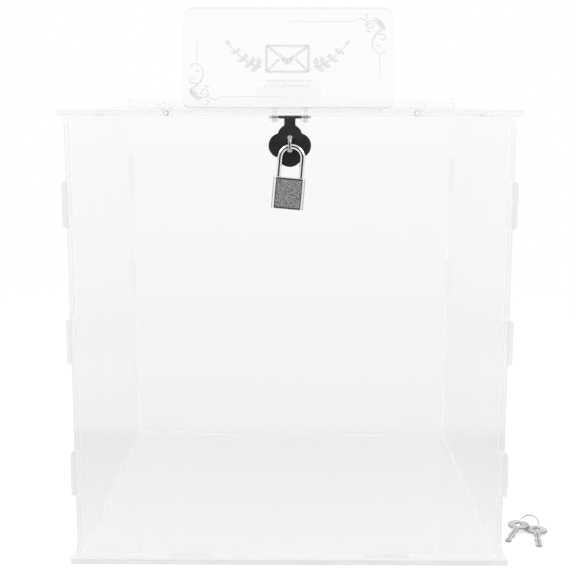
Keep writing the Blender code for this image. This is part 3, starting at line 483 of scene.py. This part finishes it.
def metal(name, colour, rough, scratch=0.06, grain=SCRATCHES, metallic=1.0):
    """Scratched metal; the grain's smallest scale is along the scratches."""
    made, shader = new_finish(name, Base_Color=(*colour, 1.0), Metallic=metallic)
    lines = noise(made, grain, detail=3.0)
    smoothest, roughest = grey(max(rough - scratch, SMOOTHEST)), grey(rough + scratch)
    link(made, shades(made, lines, smoothest, roughest, 0.3, 0.7), shader.inputs["Roughness"])
    dull = tuple(c * TARNISH_WAVE for c in colour)
    link(made, shades(made, noise(made, TARNISH), dull, colour, 0.3, 0.6), shader.inputs["Base Color"])
    link(made, bumps(made, lines, strength=0.08, distance=0.00005), shader.inputs["Normal"])
    return made


paint(metal("bright_wire", WIRE, rough=0.07, scratch=0.03), "padlock_shackle")
paint(metal("staple_wire", STAPLE, rough=0.18), "staple")
paint(metal("turned_brass", BRASS, rough=0.25), "padlock_plug")
small_screws = metal("plated_screws", PALE_SCREW, rough=0.5, metallic=0.1)
paint(small_screws, *on_both_sides("hinge_wall_screw", "hinge_wall_nut"))
# Staple nuts: their greyer colour is painted shade from the strap over them.
paint(metal("plated_nuts_shaded", SHADED_NUT, rough=0.5, metallic=0.3), "staple_nut_lower", "staple_nut_upper")
print("plated metals done")

# %% [markdown]
# ## Borders of the padlock's pieces
# The padlock's grey faces sit in a recess, and the groove round them lies in shade, which is painted into
# the colour as a dark line. The rounded outer borders of its case mirror the dark of the room, and that
# dark reflection is painted into their colour too. Both are narrower than a pixel or two, so they
# need no shape of their own: how far a point is from the piece's middle tells where its borders are.
# The lock hangs 5 degrees askew, so the two directions are turned by as much.
# %% Dark borders
LOCK_TILT = math.radians(5.0)
LOCK_ACROSS = Vector((math.cos(LOCK_TILT), 0.0, -math.sin(LOCK_TILT)))
LOCK_UP = Vector((math.sin(LOCK_TILT), 0.0, math.cos(LOCK_TILT)))


def near_border(made, name, direction, width):
    """1 close to a piece's two borders along a direction, 0 elsewhere."""
    middle, half = span(name, direction)
    along = part_along(made, object_place(made), direction)
    off = maths(made, "ABSOLUTE", maths(made, "SUBTRACT", along, middle))
    return fade(made, off, half - width * 1.5, half - width * 0.5)


print("case", round(span("padlock_case", LOCK_ACROSS)[1] * 2000, 1), "mm wide along its tilt")

# %% [markdown]
# ## Grained face of the padlock
# Between the bright rails the case has a grey face, rolled with a wavy, crinkled grain. A brick or wave
# texture would be too even. Stretched noise, pushed about by a second noise, gives worms of light and
# dark like it, and the same worms drive the colour, the roughness and the bumps.
# %% Grained face
SIDE_GROOVE, END_GROOVE = 0.0003, 0.0006
GROOVE_SHADE, GROOVE_SHADOW_TONE = 0.9, grey(0.03)
WORMS, BENDS, BEND_PUSH = (1000.0, 1000.0, 1500.0), (420.0, 420.0, 420.0), 1.6


def grained_face(piece):
    """Grey metal with a crinkled grain and painted shade in the groove round it."""
    made, shader = new_finish("grained_" + piece, Metallic=0.55)
    bend = node(made, "ShaderNodeTexNoise", Vector=stretched(made, BENDS), Scale=1.0, Detail=2.0)
    push = node(made, "ShaderNodeVectorMath", {"operation": "SCALE"}, i0=bend.outputs["Color"],
                Scale=BEND_PUSH)
    moved = node(made, "ShaderNodeVectorMath", {"operation": "ADD"}, i0=push.outputs[0],
                 i1=stretched(made, WORMS))
    worms = node(made, "ShaderNodeTexNoise", Vector=moved.outputs[0], Scale=1.0, Detail=3.0, Roughness=0.6)
    grain = worms.outputs["Fac"]
    sides = near_border(made, piece, LOCK_ACROSS, SIDE_GROOVE)
    ends = near_border(made, piece, LOCK_UP, END_GROOVE)
    groove = maths(made, "MULTIPLY", maths(made, "MAXIMUM", sides, ends), GROOVE_SHADE)
    tone = shades(made, grain, grey(0.13), grey(0.66), 0.38, 0.62)
    # Painted shade: the groove round the face is darkened in its colour.
    link(made, mixed_colour(made, groove, tone, GROOVE_SHADOW_TONE), shader.inputs["Base Color"])
    link(made, shades(made, grain, grey(0.6), grey(0.35), 0.3, 0.7), shader.inputs["Roughness"])
    link(made, bumps(made, grain, strength=0.7, distance=0.0002), shader.inputs["Normal"])
    return made


for piece in ("padlock_front_face", "padlock_back_face"):
    paint(grained_face(piece), piece)
print("grained faces done")

# %% [markdown]
# ## Case of the padlock
# The case is bright plated metal, brushed from top to bottom, and its rounded outer borders look darker
# because they mirror the dark of the room. It is the same scratched metal as before. Its colour is taken
# from the finished material, darkened along both borders as a painted reflection and put back, which is
# less work than a second kind of metal.
# %% Bright case
CASE_COLOUR = (0.95, 0.95, 0.95)
BRUSHED = (900.0, 900.0, 90.0)
CASE_RIM = 0.00045
RIM_SHADE, RIM_REFLECTION_TONE = 0.8, grey(0.2)


def case_with_painted_rim():
    """Bright case with the dark of the room painted along its outer borders as a reflection."""
    made = metal("bright_case", CASE_COLOUR, rough=0.12, grain=BRUSHED, metallic=0.35)
    base = made.node_tree.nodes["Principled BSDF"].inputs["Base Color"]
    bright = base.links[0].from_socket
    # Painted reflection: the room's dark is painted into the colour along the case's outer borders.
    rim = maths(made, "MULTIPLY", near_border(made, "padlock_case", LOCK_ACROSS, CASE_RIM), RIM_SHADE)
    link(made, mixed_colour(made, rim, bright, RIM_REFLECTION_TONE), base)
    return made


paint(case_with_painted_rim(), "padlock_case")
print("bright case done, rims", CASE_RIM * 1000, "mm wide")

# %% [markdown]
# ## Keys
# The keys are stamped from nickel-plated sheet, with a milled groove along each blade. Handling has left
# them duller than the lock, and their cut edges and groove are darker.
# They could be painted by hand, but here the normal finds the cut edges, and the distance from the
# blade's middle line finds the groove, so that both fit wherever a key lies. For each key, the place of
# its hole and the way its blade points, in degrees, are given.
# %% Keys
KEY_PLACES = {"key_left": ((0.14735, -0.0735, 0.0), 242.0), "key_right": ((0.15785, -0.0785, 0.0), 262.0)}
GROOVE_HALF, GROOVE_START = 0.0005, 0.0055
NICKEL_DULL, NICKEL = (0.56, 0.56, 0.555), (0.74, 0.74, 0.73)
KEY_CLOUD, KEY_SCRATCHES = 260.0, (1800.0, 1800.0, 600.0)
KEY_FACE_NORMAL = 0.6
DARK_CUT_TONE, DARK_CUT_SHARE = grey(0.1), 0.6


def milled_groove(made, place, hole, heading):
    """1 in the groove of a key whose blade points along a heading, 0 elsewhere."""
    ahead = Vector((math.cos(heading), math.sin(heading), 0.0))
    beside = Vector((-ahead.y, ahead.x, 0.0))
    off = maths(made, "SUBTRACT", part_along(made, place, beside), hole.dot(beside))
    line = fade(made, maths(made, "ABSOLUTE", off), GROOVE_HALF * 0.6, GROOVE_HALF * 1.2, 1.0, 0.0)
    beyond = maths(made, "GREATER_THAN", part_along(made, place, ahead), hole.dot(ahead) + GROOVE_START)
    return maths(made, "MULTIPLY", line, beyond)


def key_finish(name):
    """Dull nickel with dark cut edges and a dark groove along the blade."""
    made, shader = new_finish("nickel_" + name, Metallic=0.9)
    hole, heading = KEY_PLACES[name]
    place = node(made, "ShaderNodeTexCoord")
    groove = milled_groove(made, place.outputs["Object"], Vector(hole), math.radians(heading))
    cut = maths(made, "LESS_THAN", size_along(made, place.outputs["Normal"], ACROSS_Z), KEY_FACE_NORMAL)
    dark_parts = maths(made, "MULTIPLY", maths(made, "MAXIMUM", groove, cut), DARK_CUT_SHARE)
    cloud = noise(made, KEY_CLOUD, detail=3.0)
    tone = shades(made, cloud, NICKEL_DULL, NICKEL, 0.35, 0.65)
    link(made, mixed_colour(made, dark_parts, tone, DARK_CUT_TONE), shader.inputs["Base Color"])
    link(made, shades(made, cloud, grey(0.26), grey(0.42)), shader.inputs["Roughness"])
    scratches = bumps(made, noise(made, KEY_SCRATCHES), strength=0.12, distance=0.0001)
    link(made, scratches, shader.inputs["Normal"])
    return made


for name in KEY_PLACES:
    paint(key_finish(name), name)
paint(metal("ring_wire", STAPLE, rough=0.2), "key_ring")
print("keys and their ring done")

# %% [markdown]
# ## Frosted strokes
# A laser frosts the front of the sign: it roughens a very thin layer, which scatters the light. The
# strokes could be a mask in the sign's own finish, but sharp curls and leaves are easier to draw as
# curves whose thickness swells and tapers. Places are in millimetres on the board: the first number is
# from its middle, the second is up from its foot, and the third is the stroke's width.
# %% Soft routes
ROUTE_STEPS, CURL_STEPS, LEAF_STEPS = 6, 22, 5
LEAF_FOOT, LEAF_TIP = 0.12, 0.06


def smooth(points, steps=ROUTE_STEPS):
    """Points along a soft curve through the given ones; each is across, up and width."""
    ends = [points[0], *points, points[-1]]
    route = []
    for before, start, stop, after in zip(ends, ends[1:], ends[2:], ends[3:]):
        for k in range(steps):
            t = k / steps
            route.append(tuple(0.5 * (2 * b + (c - a) * t + (2 * a - 5 * b + 4 * c - d) * t ** 2
                                      + (3 * b - a - 3 * c + d) * t ** 3)
                               for a, b, c, d in zip(before, start, stop, after)))
    return route + [points[-1]]


def curl(centre, start, stop, first, last, widths):
    """Spiral from one radius and angle to another, thinner at its inner end."""
    route = []
    for k in range(CURL_STEPS + 1):
        t = k / CURL_STEPS
        radius = first + (last - first) * t
        angle = math.radians(start + (stop - start) * t)
        width = widths[0] + (widths[1] - widths[0]) * t
        route.append((centre[0] + radius * math.cos(angle), centre[1] + radius * math.sin(angle), width))
    return route


def leaf(foot, tip, width):
    """Leaf from its foot to its tip."""
    middle = [(a + b) / 2 for a, b in zip(foot, tip)]
    return smooth([(*foot, LEAF_FOOT), (*middle, width), (*tip, LEAF_TIP)], LEAF_STEPS)


def outline(corners, width):
    """Closed stroke of even width."""
    return [(*corner, width) for corner in (*corners, corners[0])]


print("a curl has", CURL_STEPS + 1, "points")

# %% [markdown]
# ## Strokes laid on the sign
# A set of strokes is one curve object with a round bevel. Left as a curve it would stand out of the
# sheet like string, so it is made a mesh, pressed flat, turned to the board's lean and laid just in
# front of it. The gap keeps the layer from flickering against the sheet. The piece then rides on the
# sign, so that it lifts off with it.
# %% Strokes on the sign
MM = 0.001
FROST_GAP, FROST_DEPTH = 0.00004, 0.00002
STROKE_RADIUS, BOLDNESS, THINNEST = 0.0005, 1.5, 0.05
BOARD_FACE = SIGN_FOOT + SIGN_FRONT * (SHEET / 2 + FROST_GAP)
BOARD_TURN = Matrix((Vector((1.0, 0.0, 0.0)), SIGN_UP, SIGN_FRONT)).transposed().to_4x4()
BOARD = Matrix.Translation(BOARD_FACE) @ BOARD_TURN


def frosted(name, strokes):
    """Flat frosted piece made of strokes."""
    curve = bpy.data.curves.new(name, "CURVE")
    curve.dimensions = "3D"
    curve.bevel_depth = STROKE_RADIUS
    curve.bevel_resolution = 1
    curve.use_fill_caps = True
    for stroke in strokes:
        spline = curve.splines.new("POLY")
        spline.points.add(len(stroke) - 1)
        for point, (across, up, width) in zip(spline.points, stroke):
            point.co = (across * MM, up * MM, 0.0, 1.0)
            point.radius = max(width * BOLDNESS, THINNEST)
    holder = bpy.data.objects.new(name, curve)
    mesh = bpy.data.meshes.new_from_object(holder)
    bpy.data.objects.remove(holder)
    mesh.shade_flat()
    widest = max(abs(vertex.co.z) for vertex in mesh.vertices)
    mesh.transform(Matrix.Diagonal((1.0, 1.0, FROST_DEPTH / widest, 1.0)))
    mesh.transform(BOARD)
    made = bpy.data.objects.new(name, mesh)
    bpy.context.scene.collection.objects.link(made)
    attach(made, "sign")
    return made


print("strokes lie", round(FROST_GAP * 1000, 3), "mm in front of the sign")

# %% [markdown]
# ## Frosted layer
# Frosted acrylic is white where light falls on it, and still lets the light behind it through. Rough
# glass would need many samples for that. The layer is thin and has no body, so plain white scatter,
# mixed with a larger share of transparent, looks the same. A fine noise gives it grains.
# %% Frosted finish
FROST_SHARE = 0.33
FROST_GRAINS = 2500.0


def frost_finish():
    """Thin white scatter that lets more than half of the light pass."""
    made, white = new_finish("frosted_layer", Roughness=0.8, Specular_IOR_Level=0.2)
    tone = shades(made, noise(made, FROST_GRAINS), grey(0.64), grey(0.72), 0.35, 0.65)
    link(made, tone, white.inputs["Base Color"])
    clear = node(made, "ShaderNodeBsdfTransparent", Color=grey(1.0)).outputs[0]
    let_lamps_through(made, blend(made, FROST_SHARE, clear, white.outputs[0]))
    return made


frost = frost_finish()
print("frost finish ready,", FROST_SHARE, "white")

# %% [markdown]
# ## Scrolls and border lines
# Thin lines run along the sign's border and end in two scrolls, one at the upper right and one at the
# lower left. The second scroll is the first one turned by half a turn about the board's middle, so only
# one is drawn: a few soft curves for its stems and leaves, and spirals for its curls.
# %% Scrolls and border lines
TURN_ACROSS, TURN_UP = -0.15, 31.6
TOP_LINE, SIDE_LINE = 56.65, 54.3

scroll = [
    smooth([(38.3, 56.7, 0.3), (41.0, 57.6, 0.4), (43.4, 58.6, 0.45), (45.6, 57.6, 0.4),
            (47.2, 56.3, 0.3)]),
    smooth([(48.6, 62.2, 0.25), (46.9, 61.2, 0.5), (46.5, 59.6, 0.55), (48.1, 58.2, 0.3)]),
    curl((49.4, 54.2), 100.0, 560.0, 3.1, 0.7, (0.75, 0.35)),
    smooth([(49.2, 57.4, 0.5), (52.4, 57.0, 1.3), (55.1, 54.6, 2.0), (56.2, 51.8, 1.4), (54.2, 49.6, 0.5)]),
    smooth([(51.0, 59.4, 0.3), (54.0, 57.8, 0.9), (56.9, 54.2, 1.1), (57.6, 50.8, 0.3)]),
    curl((56.0, 45.4), 140.0, -200.0, 2.9, 0.8, (0.65, 0.3)),
    smooth([(54.2, 50.0, 0.9), (51.6, 46.6, 0.8), (50.2, 42.6, 0.7), (50.6, 38.6, 0.55), (52.6, 35.9, 0.4),
            (55.4, 35.0, 0.35), (57.6, 36.2, 0.5), (57.2, 38.0, 0.3)]),
    smooth([(54.3, 34.9, 0.3), (54.3, 33.6, 0.3)]),
    leaf((46.0, 50.4), (49.6, 49.4), 0.9),
    leaf((52.0, 40.6), (55.0, 39.6), 0.8),
]
border = [[(0.5, TOP_LINE, 0.2), (20.0, TOP_LINE, 0.3), (38.3, TOP_LINE, 0.3)],
          [(SIDE_LINE, 33.6, 0.3), (SIDE_LINE, 17.7, 0.25)]]


def half_turn(strokes):
    """Same strokes, turned by half a turn about the board's middle."""
    return [[(2 * TURN_ACROSS - across, 2 * TURN_UP - up, width) for across, up, width in stroke]
            for stroke in strokes]


for name, strokes in (("sign_scroll_upper", scroll), ("sign_scroll_lower", half_turn(scroll)),
                      ("sign_border_lines", border + half_turn(border))):
    frosted(name, strokes).data.materials.append(frost)
print("scrolls:", len(scroll) * 2, "strokes")

# %% [markdown]
# ## Envelope and heart
# The middle of the sign tells what the box is for: a closed envelope with a heart on it. Bold strokes of
# nearly even width look cut by the same laser as the scrolls. The heart is two fat drops that lean
# together, because a stroke that swells needs no filled outline.
# %% Envelope and heart
MIDDLE, LEVEL = -0.5, 31.5
WIDE, HIGH = 12.5, 8.6
CORNERS = ((-1, -0.93), (-0.96, -1), (0.96, -1), (1, -0.93), (1, 0.93), (0.96, 1), (-0.96, 1), (-1, 0.93))

frame_corners = [(MIDDLE + x * WIDE, LEVEL + z * HIGH) for x, z in CORNERS]
flap = [[(MIDDLE + side * WIDE, LEVEL + HIGH, 1.1), (MIDDLE + side * 1.6, LEVEL - 0.4, 1.4)]
        for side in (-1, 1)]
folds = [[(MIDDLE + side * WIDE, LEVEL - HIGH, 0.9), (MIDDLE + side * 4.6, LEVEL - 0.1, 1.1)]
         for side in (-1, 1)]
envelope = [outline(frame_corners, 1.25), *flap, *folds]
heart = [smooth([(MIDDLE, LEVEL - 4.1, 0.1), (MIDDLE + side * 0.85, LEVEL - 2.4, 1.9),
                 (MIDDLE + side * 1.35, LEVEL - 0.8, 2.7), (MIDDLE + side * 1.4, LEVEL + 0.1, 2.2),
                 (MIDDLE + side * 1.3, LEVEL + 0.7, 0.5)]) for side in (-1, 1)]
for name, strokes in (("sign_envelope", envelope), ("sign_heart", heart)):
    frosted(name, strokes).data.materials.append(frost)
print("envelope", WIDE * 2, "by", HIGH * 2, "mm with a heart")

# %% [markdown]
# ## Leafy sprigs
# A sprig curves up on each side of the envelope. Leaves drawn one by one would never match on both
# sides. A loop sets four pairs on the stem, each smaller and steeper than the last, and one at its tip.
# %% Sprigs
LEAF_PLACES = (0.16, 0.38, 0.6, 0.8)
LEAF_SIZE, LEAF_SHORTER, LEAF_THINNER = 6.2, 0.8, 0.25
FIRST_RISE, STEEPER = 24.0, 9.0
UPPER_LEAF, LOWER_LEAF = (1.15, 2.5), (-0.95, 2.3)


def sprig(side):
    """Curved stem with pairs of leaves; each leaf has its lean from the stem and its width."""
    stem = smooth([(MIDDLE + side * 15.6, LEVEL - 5.6, 1.2), (MIDDLE + side * 21.0, LEVEL - 3.6, 1.0),
                   (MIDDLE + side * 28.0, LEVEL + 1.4, 0.8), (MIDDLE + side * 34.5, LEVEL + 9.0, 0.5)])
    strokes = [stem]
    for k, share in enumerate(LEAF_PLACES):
        across, up = stem[int(share * (len(stem) - 1))][:2]
        size = LEAF_SIZE - LEAF_SHORTER * k
        rise = math.radians(FIRST_RISE + STEEPER * k)
        for lean, width in (UPPER_LEAF, LOWER_LEAF):
            angle = rise + lean
            tip = (across + side * size * math.cos(angle), up + size * math.sin(angle))
            strokes.append(leaf((across, up), tip, width - LEAF_THINNER * k))
    across, up = stem[-1][:2]
    strokes.append(leaf((across, up), (across + side * 2.6, up + 3.2), 1.8))
    return strokes


for name, side in (("sign_sprig_left", -1), ("sign_sprig_right", 1)):
    frosted(name, sprig(side)).data.materials.append(frost)
print("two sprigs with", 2 * len(LEAF_PLACES) + 1, "leaves each")

# %% [markdown]
# ## Dark zones for mirrors
# Polished metal in a white studio looks flat, so a studio keeps something dark where only the metal
# catches it. Real dark cards would also grey the clear sheets. Light Path tells what kind of ray looks,
# so these zones are there for mirror rays alone: one in front, behind the camera, which draws the dark
# middle line on round wire, and one at each side. The front one fades upwards, so that the lid doesn't
# mirror much of it when the box is seen from behind.
# %% Dark zones
FRONT_WAY = (0.0, -0.985, 0.17)
FRONT_EDGE, FRONT_DARK = (0.52, 0.66), 0.97
FRONT_LEVELS, FRONT_ABOVE = (0.02, 0.22), 0.4
SIDE_ASIDE, SIDE_BEHIND = 0.94, 0.34
SIDE_EDGE, SIDE_DARK = (0.95, 0.985), 0.85


def dark_zones(made, way):
    """Share of darkness in a direction: in front, fading upwards, and at both sides a little behind.

    A zone's edge is told by how much of the direction points to its middle, where 1 is all of it.
    """
    parts = node(made, "ShaderNodeSeparateXYZ", Vector=way)
    front = fade(made, part_along(made, way, FRONT_WAY), *FRONT_EDGE, 0.0, FRONT_DARK)
    low = fade(made, parts.outputs["Z"], *FRONT_LEVELS, 1.0, FRONT_ABOVE, "LINEAR")
    behind = maths(made, "MULTIPLY", parts.outputs["Y"], SIDE_BEHIND)
    aside = maths(made, "MULTIPLY_ADD", maths(made, "ABSOLUTE", parts.outputs["X"]), SIDE_ASIDE, behind)
    sides = fade(made, aside, *SIDE_EDGE, 0.0, SIDE_DARK)
    return maths(made, "MAXIMUM", maths(made, "MULTIPLY", front, low), sides)


def seen_rays(made, path):
    """1 for a ray from the camera, a mirror or clear sheet, 0 for one that only brings light."""
    seen = maths(made, "MAXIMUM", path.outputs["Is Camera Ray"], path.outputs["Is Glossy Ray"])
    return maths(made, "MAXIMUM", seen, path.outputs["Is Transmission Ray"])


def mirror_rays(made, path):
    """1 for a ray that left a mirror, 0 for one that went through clear sheet."""
    glossy, through = path.outputs["Is Glossy Ray"], path.outputs["Is Transmission Ray"]
    return maths(made, "SUBTRACT", glossy, through, clamp=True)


print("front zone spans", round(math.degrees(math.acos(FRONT_EDGE[0]))), "degrees each way")

# %% [markdown]
# ## White world
# The picture is nearly white on white. One plain white world would light the box from all sides and
# wash its edges out. So the world is white only where the camera, a mirror or clear sheet looks at it,
# and a softer plain level lights everything else.
# %% World
WORLD_LEVEL, WHITE = 0.8, 1.0


def studio_world():
    """White where something looks at it, a plain level elsewhere, and dark zones for mirrors."""
    world = bpy.data.worlds.new("studio")
    bpy.context.scene.world = world
    world.use_nodes = True
    world.node_tree.nodes.clear()
    path = node(world, "ShaderNodeLightPath")
    level = node(world, "ShaderNodeMix", Factor=seen_rays(world, path), i2=WORLD_LEVEL, i3=WHITE).outputs[0]
    way = node(world, "ShaderNodeTexCoord").outputs["Generated"]
    dark = maths(world, "MULTIPLY", dark_zones(world, way), mirror_rays(world, path))
    strength = maths(world, "MULTIPLY", level, maths(world, "SUBTRACT", 1.0, dark))
    light = node(world, "ShaderNodeBackground", Color=grey(1.0), Strength=strength)
    link(world, light.outputs[0], node(world, "ShaderNodeOutputWorld").inputs["Surface"])


studio_world()
print("white world, level", WORLD_LEVEL)

# %% [markdown]
# ## Floor as the sheets show it
# Seen through the sheets, the floor looks greyer towards the rear of the box: partly because each sheet
# keeps a little light, more where a ray runs along it, and partly from the box's own soft shadow.
# Tinting the sheets until that shows would grey everything else behind them too. So rays that come
# through a sheet see the floor with a painted shadow, a tone read from a ramp over its depth, and a
# painted contact shade a little darker along the ledge of the base in front of the wall. Each pair
# below is a depth in metres from the middle of the box and the floor's level there.
# %% Floor behind clear sheet
BOX_SHADE = ((-0.2, 0.86), (-0.1, 0.855), (-0.061, 0.838), (-0.018, 0.806), (0.03, 0.784), (0.084, 0.752),
             (0.118, 0.73), (0.145, 0.847), (0.18, 0.874), (0.256, 0.884), (0.35, 0.918), (0.6, 0.92),
             (0.857, 0.952), (1.25, 0.966), (1.88, 0.982), (3.08, 0.993), (6.2, 1.0))
LEDGE, LEDGE_SHADE = (-0.1275, -0.1205), 0.95


def floor_shadow_through_sheets(made, place):
    """Glow of the floor for rays that come through a sheet, with the box's shadow painted in."""
    depth = node(made, "ShaderNodeSeparateXYZ", Vector=place).outputs["Y"]
    first, last = BOX_SHADE[0][0], BOX_SHADE[-1][0]
    ramp = node(made, "ShaderNodeValToRGB", Fac=fade(made, depth, first, last, kind="LINEAR"))
    stops = ramp.color_ramp.elements
    for y, level in BOX_SHADE[1:-1]:
        stops.new((y - first) / (last - first))
    for stop, (y, level) in zip(stops, BOX_SHADE):
        stop.position = (y - first) / (last - first)
        stop.color = grey(level)
    # Painted contact shade: the floor is darker along the ledge of the base.
    ledge = fade(made, depth, *LEDGE, LEDGE_SHADE, 1.0, "LINEAR")
    return node(made, "ShaderNodeEmission", Color=ramp.outputs["Color"], Strength=ledge).outputs[0]


print("floor tone told at", len(BOX_SHADE), "depths")

# %% [markdown]
# ## White floor
# The box stands on a white table that runs into the white behind it without a line. A floor that is only
# lit is never quite white, and one that only glows has no shadows. So half of it is lit, which keeps the
# soft shadow, and a glow for rays that look at it brings it up to white. Far out it turns into plain
# white, and for mirrors it carries the dark zones on.
# %% Floor
FLOOR_TONE, FLOOR_GLOW = 0.5, 0.56
SHEET_VIEW_SHARE = 0.8
PLAIN_FROM, PLAIN_FULL = 0.45, 0.95
DARK_FROM, DARK_FULL = 0.3, 0.75
FLOOR_DROP, FLOOR_SIZE = -0.0003, 12.0


def floor_finish():
    """White floor: a lit part that keeps the shadows, and a glow for rays that look at it."""
    made, lit = new_finish("white_floor", Base_Color=grey(FLOOR_TONE), Roughness=0.9,
                           Specular_IOR_Level=0.0, Emission_Color=grey(1.0))
    path = node(made, "ShaderNodeLightPath")
    place = object_place(made)
    mirrors = mirror_rays(made, path)
    apart = node(made, "ShaderNodeVectorMath", {"operation": "LENGTH"}, i0=place).outputs["Value"]
    way = node(made, "ShaderNodeVectorMath", {"operation": "NORMALIZE"}, i0=place).outputs[0]
    link(made, maths(made, "MULTIPLY", seen_rays(made, path), FLOOR_GLOW), lit.inputs["Emission Strength"])
    through = maths(made, "MULTIPLY", path.outputs["Is Transmission Ray"], SHEET_VIEW_SHARE)
    near = blend(made, through, lit.outputs[0], floor_shadow_through_sheets(made, place))
    white = node(made, "ShaderNodeEmission", Color=grey(1.0), Strength=WHITE).outputs[0]
    looked_at = maths(made, "MAXIMUM", path.outputs["Is Camera Ray"], mirrors)
    far = maths(made, "MULTIPLY", fade(made, apart, PLAIN_FROM, PLAIN_FULL), looked_at)
    dark = maths(made, "MULTIPLY", fade(made, apart, DARK_FROM, DARK_FULL), mirrors)
    dark = maths(made, "MULTIPLY", dark, dark_zones(made, way))
    black = node(made, "ShaderNodeBsdfDiffuse", Color=grey(0.0)).outputs[0]
    set_surface(made, blend(made, dark, blend(made, far, near, white), black))
    return made


def flat_panel(name, level, size):
    """Square flat face at a level, placed in its mesh."""
    mesh = bpy.data.meshes.new(name)
    shape = bmesh.new()
    bmesh.ops.create_grid(shape, x_segments=1, y_segments=1, size=size / 2)
    bmesh.ops.translate(shape, vec=(0.0, 0.0, level), verts=shape.verts)
    shape.to_mesh(mesh)
    shape.free()
    made = bpy.data.objects.new(name, mesh)
    bpy.context.scene.collection.objects.link(made)
    return made


floor = flat_panel("floor", FLOOR_DROP, FLOOR_SIZE)
floor.data.materials.append(floor_finish())
print("floor laid,", FLOOR_SIZE, "m wide")

# %% [markdown]
# ## Lamps
# The soft shadows come from large lamps near the box. One lamp would leave the edges on its far side
# flat, so a stronger one stands at the left and a weaker one at the right, both in front and above.
# The Standard view keeps white at white, where a film-like view would turn it grey.
# %% Soft lamps
LAMP_AIM = (0.0, 0.0, 0.12)
LAMPS = {"left_softbox": ((-1.3, -0.9, 1.3), 1.0, 10.0), "right_softbox": ((1.4, -0.7, 1.0), 0.9, 6.0)}


def soft_lamp(name, place, size, watts):
    """Square area lamp that looks at the box."""
    data = bpy.data.lights.new(name, "AREA")
    data.shape = "SQUARE"
    data.size = size
    data.energy = watts
    made = bpy.data.objects.new(name, data)
    bpy.context.scene.collection.objects.link(made)
    made.location = place
    made.rotation_euler = (Vector(LAMP_AIM) - Vector(place)).to_track_quat("-Z", "Y").to_euler()


for name, (place, size, watts) in LAMPS.items():
    soft_lamp(name, place, size, watts)
bpy.context.scene.view_settings.view_transform = "Standard"
print(len(LAMPS), "lamps placed")
